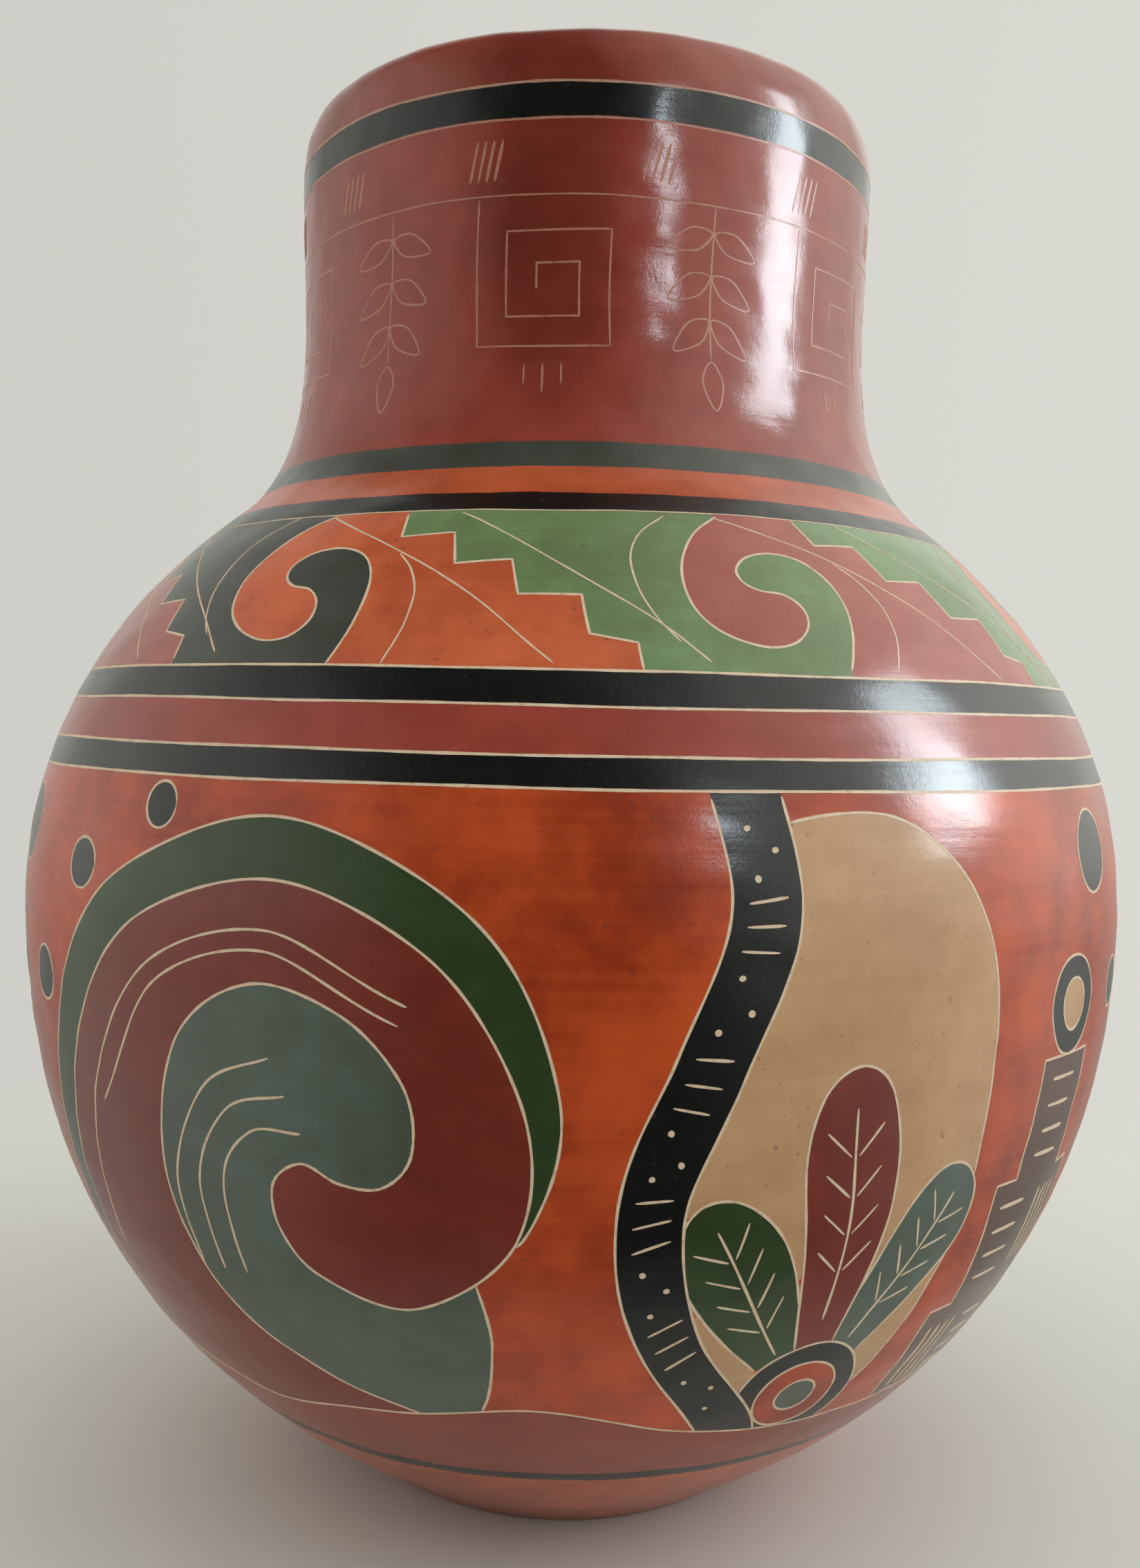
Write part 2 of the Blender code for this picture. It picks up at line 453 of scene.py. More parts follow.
@dataclass
class Painting:
    """Painted shapes on a flattened wall that repeats round the vase.

    Later patches cover earlier ones. A drawing's x goes round the vase, and its y goes up the wall.

    Attributes:
        period: Width after which the drawing repeats.
        height: Height of the drawing.
        line_width: Width of a scribed edge.
        patches: Shapes in the order in which they are painted.
        marks: Further scribed lines, each with its width.
    """

    period: float
    height: float
    line_width: float
    patches: list[Patch] = field(default_factory=list)
    marks: list[tuple[Array, float]] = field(default_factory=list)

    def paint(self, slip: Slip, outline: Array, lines: tuple[Array, ...] | None = None) -> None:
        """Adds a shape over the earlier ones."""
        self.patches.append(Patch(slip, outline, lines))

    def mark(self, line: Array, width: float) -> None:
        """Adds a scribed line that isn't the edge of a shape."""
        self.marks.append((line, width))

    def distance(self, outline: Array, x: Array, y: Array) -> Array:
        """Signed distance to an outline and to its copies one period to each side."""
        copies = (outline + (step * self.period, 0.0) for step in (-1, 0, 1))
        return np.minimum.reduce([signed_distance(copy, x, y) for copy in copies])

    def fields(self, x: Array, y: Array) -> Fields:
        """Each slip's field at points of the flattened wall.

        A new patch is joined to its own slip's field and cut out of all others.

        Args:
            x: Points' x in millimetres.
            y: Points' y in millimetres.

        Returns:
            Field of each slip that is painted, negative where the slip shows.
        """
        right, up = hand(x, y)
        x, y = x + right, y + up
        fields: Fields = {}
        for patch in self.patches:
            gap = self.distance(patch.outline, x, y)
            fields.setdefault(patch.slip, np.full(x.shape, REACH, np.float32))
            for slip, old in fields.items():
                fields[slip] = np.minimum(old, gap) if slip is patch.slip else np.maximum(old, -gap)
        return fields

    def lines(self) -> list[tuple[Array, float]]:
        """Scribed lines that no later patch covers, strayed by the hand, cut at the drawing's top and foot.

        Returns:
            Lines as (x, y) rows, each with its width.
        """
        found: list[tuple[Array, float]] = []
        for index, patch in enumerate(self.patches):
            whole = (np.vstack([patch.outline, patch.outline[:1]]),)
            later = [p.outline for p in self.patches[index + 1 :]]
            for edge in whole if patch.lines is None else patch.lines:
                found += [(part, self.line_width) for part in self.shown(edge, later)]
        found += self.marks
        return [(line - np.column_stack(hand(*line.T)), width) for line, width in found]

    def shown(self, line: Array, covers: list[Array]) -> list[Array]:
        """Stretches of a line that lie outside all covers and inside the drawing.

        Args:
            line: The line as (x, y) rows.
            covers: Closed outlines that hide it.

        Returns:
            Stretches of three points or more.
        """
        margin, overlap = 0.2, 0.05
        seen = (line[:, 1] > margin) & (line[:, 1] < self.height - margin)
        for cover in covers:
            seen &= self.distance(cover, *line.T) > -overlap
        ends = np.flatnonzero(np.diff(np.concatenate([[0], seen.astype(int), [0]])))
        return [line[a:b] for a, b in zip(ends[::2], ends[1::2]) if b - a > 2]


@dataclass(frozen=True)
class Signal:
    """A socket of a shader graph, with operators that add Math nodes."""

    graph: "Graph"
    socket: bpy.types.NodeSocket

    def math(self, operation: str, *others: "Signal | float") -> "Signal":
        """One Math node on this signal and others."""
        return self.graph.node("ShaderNodeMath", {"operation": operation}, dict(enumerate((self, *others))))

    def __add__(self, other: "Signal | float") -> "Signal":
        """This plus other."""
        return self.math("ADD", other)

    def __sub__(self, other: "Signal | float") -> "Signal":
        """This minus other."""
        return self.math("SUBTRACT", other)

    def __mul__(self, other: "Signal | float") -> "Signal":
        """This times other."""
        return self.math("MULTIPLY", other)

    def __rsub__(self, other: float) -> "Signal":
        """A number minus this."""
        return self.graph.node("ShaderNodeMath", {"operation": "SUBTRACT"}, {0: other, 1: self})

    __radd__ = __add__
    __rmul__ = __mul__

    def ramp(self, low: float, high: float) -> "Signal":
        """0 below low, 1 above high, and eased between; low may be the greater."""
        sockets = {"Value": self, "From Min": low, "From Max": high}
        return self.graph.node("ShaderNodeMapRange", {"interpolation_type": "SMOOTHSTEP"}, sockets)


class Graph:
    """Node graph of a material, a world or a light, with one shader."""

    def __init__(self, owner: bpy.types.ID, shader: str = "Principled BSDF") -> None:
        """Turns on an owner's nodes.

        Args:
            owner: The material, the world or the light.
            shader: Name of the shader that it starts with.
        """
        owner.use_nodes = True
        self.owner = owner
        self.tree = owner.node_tree
        self.shader = self.tree.nodes[shader]

    def node(
        self,
        kind: str,
        settings: Mapping[str, Any],
        sockets: Mapping[str | int, "Signal | Any"],
        output: str | int = 0,
    ) -> Signal:
        """Any node: its settings are set first, then its sockets get their values or links.

        Args:
            kind: The node's type.
            settings: Properties of the node.
            sockets: Values or signals of its inputs, by name or number.
            output: Name or number of the output that is wanted.

        Returns:
            That output.
        """
        node = self.tree.nodes.new(kind)
        for name, value in settings.items():
            setattr(node, name, value)
        for name, value in sockets.items():
            self.feed(node.inputs[name], value)
        return Signal(self, node.outputs[output])

    def feed(self, socket: bpy.types.NodeSocket, value: "Signal | Any") -> None:
        """Links a signal to a socket, or sets the socket's own value.

        Args:
            socket: The input socket.
            value: The signal or the value.
        """
        if isinstance(value, Signal):
            self.tree.links.new(value.socket, socket)
        else:
            socket.default_value = value

    def surface(self, **sockets: "Signal | Any") -> None:
        """Feeds the shader's sockets, named in lower case with _ for a space."""
        for name, value in sockets.items():
            self.feed(self.shader.inputs[name.replace("_", " ").title()], value)

    @cached_property
    def object_point(self) -> Signal:
        """Object coordinates."""
        return self.node("ShaderNodeTexCoord", {}, {}, "Object")

    def attribute(self, name: str) -> Signal:
        """A number stored on the mesh's points."""
        return self.node("ShaderNodeAttribute", {"attribute_name": name}, {}, "Fac")

    def noise(
        self,
        scale: float,
        detail: float = 3.0,
        stretch: tuple[float, float, float] | None = None,
        rough: float = 0.5,
    ) -> Signal:
        """Noise from 0 to 1 in object space.

        Args:
            scale: Features per metre, roughly.
            detail: Octaves.
            stretch: Factors on x, y and z before the noise is read.
            rough: Weight of each further octave.

        Returns:
            The noise's value.
        """
        point = self.object_point
        if stretch is not None:
            point = self.node("ShaderNodeVectorMath", {"operation": "MULTIPLY"}, {0: point, 1: stretch})
        sockets = {"Vector": point, "Scale": scale, "Detail": detail, "Roughness": rough}
        return self.node("ShaderNodeTexNoise", {}, sockets)

    def blend(self, factor: Signal | float, first: Signal | Colour, second: Signal | Colour) -> Signal:
        """Colour between two colours, through the inputs and the output that a Mix node has for colours."""
        sockets = {0: factor, 6: self.solid(first), 7: self.solid(second)}
        return self.node("ShaderNodeMix", {"data_type": "RGBA"}, sockets, 2)

    @staticmethod
    def solid(colour: Signal | Colour) -> Signal | tuple[float, ...]:
        """A colour of three numbers as the four that a socket holds; a signal as it is."""
        return (*colour, 1.0) if isinstance(colour, tuple) else colour

    def bump(self, height: Signal, distance: float, strength: float) -> Signal:
        """Normal of a surface that the height moves by up to the distance."""
        return self.node("ShaderNodeBump", {}, {"Strength": strength, "Distance": distance, "Height": height})


@dataclass(frozen=True)
class BurnishedSlip:
    """Slips rubbed with a stone and waxed: clouded colour, rubbing streaks round the pot, a soft gloss.

    Attributes:
        gloss_roughness: Roughness of a well-rubbed place.
        edge: Half-width of the blur at a painted edge, in millimetres.
        cloud: How far the colour varies in clouds.
        speck_colour: Colour of the dark specks in it.
    """

    gloss_roughness: float = 0.205
    edge: float = 0.12
    cloud: float = 0.30
    speck_colour: Colour = (0.05, 0.025, 0.018)

    def material(
        self, name: str, ground: Slip, slips: Sequence[Slip], soft: Mapping[Slip, float]
    ) -> bpy.types.Material:
        """The finish of one section.

        Args:
            name: Name of the material.
            ground: Slip that shows where no other does.
            slips: Slips whose fields the section carries.
            soft: Blur in millimetres of slips that are painted with a soft edge.

        Returns:
            The material.
        """
        g = Graph(bpy.data.materials.new(name))
        clouds = g.noise(31.0, 4.0, rough=0.55)
        fine_clouds = g.noise(170.0, 3.0)
        streaks = g.noise(1.0, 3.0, (26.0, 26.0, 760.0))
        grain = g.noise(2600.0, 2.0)
        tremor = (g.noise(700.0, 2.0) - 0.5) * 0.35
        colour = self.tone(g, ground, clouds, fine_clouds, streaks)
        rough = self.gloss_roughness + (clouds - 0.5) * 0.10 + (streaks - 0.5) * 0.10 + (grain - 0.5) * 0.05
        for slip in slips:
            blur = soft.get(slip, self.edge)
            shown = (g.attribute(slip.field_name) + tremor).ramp(blur, -blur)
            colour = g.blend(shown, colour, self.tone(g, slip, clouds, fine_clouds, streaks))
        specks = g.noise(900.0, 1.0).ramp(0.70, 0.78)
        colour = g.blend(specks * 0.35, colour, self.speck_colour)
        relief = streaks * 0.7 + grain * 0.3 + fine_clouds * 0.8 + g.noise(850.0, 1.0) * 0.35
        g.surface(base_color=colour, roughness=rough + specks * 0.04, normal=g.bump(relief, 0.00006, 0.55))
        return g.owner

    def tone(self, g: Graph, slip: Slip, clouds: Signal, fine_clouds: Signal, streaks: Signal) -> Signal:
        """One slip's colour: dark and light clouds of itself with streaks, most in orange, least in cream.

        Args:
            g: The graph.
            slip: The slip.
            clouds: Slow noise.
            fine_clouds: Quicker noise.
            streaks: Noise drawn out round the pot.

        Returns:
            The colour.
        """
        blotches = {Slip.ORANGE: 1.75, Slip.EMBER: 1.1, Slip.RUST: 1.1, Slip.CREAM: 0.55, Slip.BLACK: 1.4}
        swing = self.cloud * blotches.get(slip, 0.8)
        dark = tuple(c * (1.0 - swing * w) for c, w in zip(slip.value, (0.75, 1.0, 1.1)))
        light = tuple(c * (1.0 + swing * w) for c, w in zip(slip.value, (0.55, 0.8, 0.9)))
        place = (clouds * 0.62 + fine_clouds * 0.27 + streaks * 0.11).ramp(0.34, 0.66)
        return g.blend(place, dark, light)


@dataclass(frozen=True)
class ScribedClay:
    """Paler clay that shows where a point has cut through the slip, with a dusty, uneven colour.

    Attributes:
        colour: Its colour in linear light.
        roughness: Its roughness, which is less where wax lies over it.
    """

    colour: Colour = (0.70, 0.54, 0.385)
    roughness: float = 0.55

    def material(self, name: str) -> bpy.types.Material:
        """The finish of scribed lines.

        Args:
            name: Name of the material.

        Returns:
            The material.
        """
        g = Graph(bpy.data.materials.new(name))
        dust = g.noise(900.0, 3.0)
        dull = tuple(c * w for c, w in zip(self.colour, (0.78, 0.70, 0.64)))
        g.surface(base_color=g.blend(dust.ramp(0.22, 0.50), dull, self.colour))
        g.surface(roughness=self.roughness + (dust - 0.5) * 0.2)
        g.surface(normal=g.bump(g.noise(3200.0, 2.0), 0.00004, 0.5))
        return g.owner


@dataclass(frozen=True)
class BareClay:
    """Unslipped fired clay inside the vase: orange-brown, dry, with grit and the drag of fingers.

    Attributes:
        colour: Its colour in linear light.
        grit_colour: Colour of the grit in it.
    """

    colour: Colour = (0.30, 0.105, 0.050)
    grit_colour: Colour = (0.12, 0.05, 0.03)

    def material(self, name: str) -> bpy.types.Material:
        """The finish of the inside.

        Args:
            name: Name of the material.

        Returns:
            The material.
        """
        g = Graph(bpy.data.materials.new(name))
        drag = g.noise(1.0, 3.0, (18.0, 18.0, 420.0))
        grit = g.noise(1500.0, 2.0)
        dark = tuple(c * 0.62 for c in self.colour)
        colour = g.blend((g.noise(60.0, 4.0) * 0.6 + drag * 0.4).ramp(0.32, 0.68), dark, self.colour)
        g.surface(base_color=g.blend(grit.ramp(0.66, 0.74) * 0.6, colour, self.grit_colour))
        g.surface(roughness=0.70 + (grit - 0.5) * 0.2, normal=g.bump(drag + grit * 0.5, 0.00012, 0.6))
        return g.owner


def grid_mesh(name: str, points: Array, closed: bool) -> bpy.types.Mesh:
    """A turned mesh: quads between neighbours of a grid whose columns close round the pot.

    Args:
        name: Name of the mesh.
        points: Grid of rows, columns and three.
        closed: Whether the last row joins the first; otherwise a point on the axis closes each end.

    Returns:
        The mesh, with faces out, in the order of its rows.
    """
    rows, columns = points.shape[:2]
    index = np.arange(rows * columns).reshape(rows, columns)
    ring = np.roll(index, -1, axis=1)
    if closed:
        upper, upper_ring = np.roll(index, -1, axis=0), np.roll(ring, -1, axis=0)
        faces = np.stack([index, ring, upper_ring, upper], axis=-1).reshape(-1, 4).tolist()
        corners = points.reshape(-1, 3)
    else:
        quads = np.stack([index[:-1], ring[:-1], ring[1:], index[1:]], axis=-1).reshape(-1, 4).tolist()
        first, last = rows * columns, rows * columns + 1
        start = np.stack([np.full(columns, first), ring[0], index[0]], axis=-1)
        end = np.stack([index[-1], ring[-1], np.full(columns, last)], axis=-1)
        faces = [*start.tolist(), *quads, *end.tolist()]
        poles = points[[0, -1]].mean(axis=1)
        corners = np.vstack([points.reshape(-1, 3), poles])
    mesh = bpy.data.meshes.new(name)
    mesh.from_pydata(corners.tolist(), [], faces)
    mesh.shade_smooth()
    mesh.set_sharp_from_angle(angle=math.radians(40))
    return mesh


def show(mesh: bpy.types.Mesh) -> bpy.types.Object:
    """Puts a mesh into the scene, at the origin.

    Args:
        mesh: The mesh.

    Returns:
        Its object.
    """
    piece = bpy.data.objects.new(mesh.name, mesh)
    bpy.context.scene.collection.objects.link(piece)
    log.info("%s: %d faces", mesh.name, len(mesh.polygons))
    return piece


@dataclass(frozen=True)
class ScribedLines:
    """Scribed lines as beads: a closed profile with a hollow top, carried along each stroke.

    Attributes:
        wall: The wall that they lie on.
        rim: How high the bead's two rims stand above the slip.
        hollow: How high the middle of its hollow top stands.
        depth: How deep its sides reach into the wall.
    """

    wall: TurnedWall
    rim: float = 0.000035
    hollow: float = 0.000010
    depth: float = 0.00010

    def build(self, name: str, strokes: Sequence[Stroke], finish: ScribedClay) -> bpy.types.Object:
        """One piece of all the strokes of a section.

        Args:
            name: Name of the piece.
            strokes: The strokes.
            finish: Their finish.

        Returns:
            The piece.
        """
        corners: list[Array] = []
        faces: list[list[int]] = []
        start = 0
        for number, stroke in enumerate(strokes):
            rings = self.rings(stroke, number)
            faces += self.skin(*rings.shape[:2], start, stroke.closed)
            corners.append(rings.reshape(-1, 3))
            start += rings.shape[0] * rings.shape[1]
        mesh = bpy.data.meshes.new(name)
        mesh.from_pydata(np.vstack(corners).tolist(), [], faces)
        mesh.shade_smooth()
        mesh.set_sharp_from_angle(angle=math.radians(50))
        piece = show(mesh)
        mesh.materials.append(finish.material(name))
        return piece

    def rings(self, stroke: Stroke, number: int) -> Array:
        """Profiles along a stroke: five points each, across the stroke and along the wall's normal.

        The width swells and thins slowly, and an open stroke tapers at both ends.

        Args:
            stroke: The stroke.
            number: Its number, which sets where its width swells.

        Returns:
            Array of profiles, five and three.
        """
        points = self.wall.place(stroke.turn, stroke.run)
        normal = self.wall.normal(stroke.turn, stroke.run)
        if stroke.closed:
            along = np.roll(points, -1, axis=0) - np.roll(points, 1, axis=0)
        else:
            along = np.gradient(points, axis=0)
        side = np.cross(normal, along)
        side /= np.maximum(np.linalg.norm(side, axis=1, keepdims=True), 1e-12)
        step = np.arange(len(points))
        swell = 1.0 + 0.12 * np.sin(step * 0.23 + number * 1.7) + 0.08 * np.sin(step * 0.71 + number * 2.9)
        if not stroke.closed:
            head_start, taper = 0.8, 2.0
            swell = swell * np.clip((np.minimum(step, step[::-1]) + head_start) / taper, 0.0, 1.0)
        foot, crest = 0.5, 0.40
        across = np.array([-foot, -crest, 0.0, crest, foot]) * stroke.width * MM
        rise = np.array([-self.depth, self.rim, self.hollow, self.rim, -self.depth])
        spread = side[:, None, :] * (swell[:, None] * across)[..., None]
        return points[:, None, :] + spread + normal[:, None, :] * rise[None, :, None]

    @staticmethod
    def skin(count: int, around: int, start: int, closed: bool) -> list[list[int]]:
        """Faces of one bead: quads between profiles, and a cap at each end of an open one.

        Args:
            count: Number of profiles.
            around: Points of a profile.
            start: Number of the bead's first point.
            closed: Whether the last profile joins the first.

        Returns:
            Faces as lists of points' numbers.
        """
        index = start + np.arange(count * around).reshape(count, around)
        following = np.roll(index, -1, axis=0) if closed else index[1:]
        current = index if closed else index[:-1]
        quads = [current, following, np.roll(following, -1, axis=1), np.roll(current, -1, axis=1)]
        faces = np.stack(quads, axis=-1).reshape(-1, 4).tolist()
        if not closed:
            faces += [index[0].tolist(), index[-1, ::-1].tolist()]
        return faces


@dataclass
class Section:
    """One turned section of the vase, from a lower to an upper run of the shared wall.

    Attributes:
        wall: The shared wall.
        node: Node of the frame that it replaces.
        slot: The record's material slot; not used.
        ground: Slip that it is covered with.
        row_step: Height of a row of its outside.
        columns: Columns round the vase.
        inner_step: Height of a row of its inside.
        ring_points: Points of a line scribed right round it.
        ring_width: Width of such a line, in millimetres.
        thin: Width of thin lines, in millimetres.
        soft: Blur of slips that are painted with a soft edge, in millimetres.
        finish: Finish of its outside.
        line_finish: Finish of its scribed lines.
    """

    wall: TurnedWall
    node: str
    slot: str
    ground: Slip
    row_step: float
    columns: int = 672
    inner_step: float = 0.008
    ring_points: int = 900
    ring_width: float = 0.5
    thin: float = 0.34
    soft: dict[Slip, float] = field(default_factory=dict)
    finish: BurnishedSlip = field(default_factory=BurnishedSlip)
    line_finish: ScribedClay = field(default_factory=ScribedClay)

    def span(self) -> tuple[float, float]:
        """Lower and upper run of its outside."""
        raise NotImplementedError

    def turns(self) -> Array:
        """Turn of each column, from behind, round past the camera's side."""
        return np.linspace(-math.pi, math.pi, self.columns, endpoint=False)

    def outer_runs(self) -> Array:
        """Run of each row of the outside."""
        low, high = self.span()
        return np.linspace(low, high, math.ceil((high - low) / self.row_step) + 1)

    def inner_rows(self) -> tuple[Array, Array]:
        """Runs and lifts of the joint faces and the inside, from the top down.

        A joint face is hollowed a little, so that two sections meet at their edges. The inside lies behind
        the wall's thickness, with the slow rings that fingers leave.

        Returns:
            Runs and lifts.
        """
        low, high = self.span()
        run = np.linspace(high, low, math.ceil((high - low) / self.inner_step) + 1)
        ring_height, ring_apart = 0.00022, 0.0071
        fade = np.sin(math.pi * (run - low) / (high - low))
        inside = ring_height * np.sin(run * math.tau / ring_apart) * fade - self.wall.thickness(run)
        hollow = self.wall.joint_hollow
        runs = np.concatenate([[high - hollow], run, [low + hollow]])
        return runs, np.concatenate([[inside[0] / 2], inside, [inside[-1] / 2]])

    def fields(self, turn: Array, run: Array) -> Fields:
        """Fields of the slips painted on the outside; none where the ground is all."""
        return {}

    def strokes(self) -> list[Stroke]:
        """Lines scribed on the outside."""
        return []

    def ring(self, height: float, width: float) -> Stroke:
        """A line scribed right round the vase, with a slow stray of the hand: two waves up and down.

        Args:
            height: Its height.
            width: Its width in millimetres.

        Returns:
            The stroke.
        """
        turn = np.linspace(0.0, math.tau, self.ring_points, endpoint=False)
        stray = 0.00010 * np.sin(3 * turn + height * 900) + 0.00006 * np.sin(11 * turn + height * 500)
        return Stroke(turn, self.wall.run_at(height) + stray, width, True)

    def band(self, run: Array, low: float, high: float) -> Array:
        """Field of a painted band: how far a run is from its middle, less half of its width.

        Args:
            run: Distances along the outside line.
            low: Height of its lower edge.
            high: Height of its upper edge.

        Returns:
            Distances from its nearer edge in millimetres, negative inside.
        """
        middle = (self.wall.run_at(low) + self.wall.run_at(high)) / 2
        half = (self.wall.run_at(high) - self.wall.run_at(low)) / 2
        return (np.abs(run - middle) - half) / MM

    def shade_patches(self, turn: Array, run: Array, height: float, reach: float) -> Array:
        """Field of painted shade: three darker upright patches round the vase.

        Each patch is an ellipse on the flattened wall, taller than it is wide. The one that faces the camera
        stands in for the shade on that side, and the other two repeat it round the vase.

        Args:
            turn: Angles round Z in radians.
            run: Distances along the outside line.
            height: Height of the patches' middle.
            reach: Half of a patch's height.

        Returns:
            Distances from the nearest patch's edge, in millimetres.
        """
        half_width = 0.0105
        # Turns of the patches of painted shade, in degrees; the one at -6 faces the camera.
        middles = (-6.0, 121.0, 236.0)
        up = (run - self.wall.run_at(height)) / reach
        fields = []
        for middle in middles:
            away = (turn - math.radians(middle) + math.pi) % math.tau - math.pi
            fields.append((np.hypot(away * self.wall.waist_radius / half_width, up) - 1.0) * half_width / MM)
        return np.minimum.reduce(fields)

    def build(self) -> list[bpy.types.Object]:
        """Makes the section and its scribed lines, dresses them and ties them to the frame.

        Returns:
            The pieces.
        """
        outer = self.outer_runs()
        inner_run, inner_lift = self.inner_rows()
        run = np.concatenate([outer, inner_run])
        lift = np.concatenate([0.0 * outer, inner_lift])
        turn = self.turns()
        points = self.wall.place(turn[None, :], run[:, None], lift[:, None])
        mesh = grid_mesh(self.node + "_clay", points, self.closed())
        fields = self.fields(turn[None, :] + 0.0 * outer[:, None], outer[:, None] + 0.0 * turn[None, :])
        for slip, values in fields.items():
            stored = np.full(len(mesh.vertices), REACH, np.float32)
            stored[: values.size] = values.ravel()
            mesh.attributes.new(slip.field_name, "FLOAT", "POINT").data.foreach_set("value", stored)
        mesh.materials.append(self.finish.material(self.node + "_slip", self.ground, list(fields), self.soft))
        mesh.materials.append(BareClay().material(self.node + "_inside"))
        bare = np.zeros(len(mesh.polygons), np.int32)
        slipped_rows = len(outer) - 1 if self.closed() else len(outer)
        bare[slipped_rows * self.columns :] = 1
        mesh.polygons.foreach_set("material_index", bare)
        pieces = [show(mesh)]
        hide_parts(self.node)
        strokes = self.strokes()
        if strokes:
            pieces.append(ScribedLines(self.wall).build(self.node + "_scribing", strokes, self.line_finish))
        for piece in pieces:
            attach(piece, "root")
        return pieces

    def closed(self) -> bool:
        """Whether the half-section is a ring clear of the axis."""
        return True


@dataclass
class RolledLip(Section):
    """The rounded rim, in one slip over its crest and down its inner side.

    Attributes:
        shade_reach: Half of the height of its patches of painted shade.
    """

    shade_reach: float = 0.030

    def span(self) -> tuple[float, float]:
        """From the rim's joint over the crest to the inner edge."""
        return self.wall.run_at(self.wall.rim_height), float(self.wall.runs[-1])

    def inner_rows(self) -> tuple[Array, Array]:
        """Only the joint face under the lip, hollowed at its middle."""
        return np.array([self.span()[0] + self.wall.joint_hollow]), np.array([-self.wall.rim_wall / 2])

    def fields(self, turn: Array, run: Array) -> Fields:
        """Painted shade: darker maroon patches on the lip, in line with those on the neck."""
        return {Slip.MAROON: self.shade_patches(turn, run, self.wall.rim_height, self.shade_reach)}

    def strokes(self) -> list[Stroke]:
        """The line between lip and band."""
        return [self.ring(self.wall.rim_height, self.ring_width)]


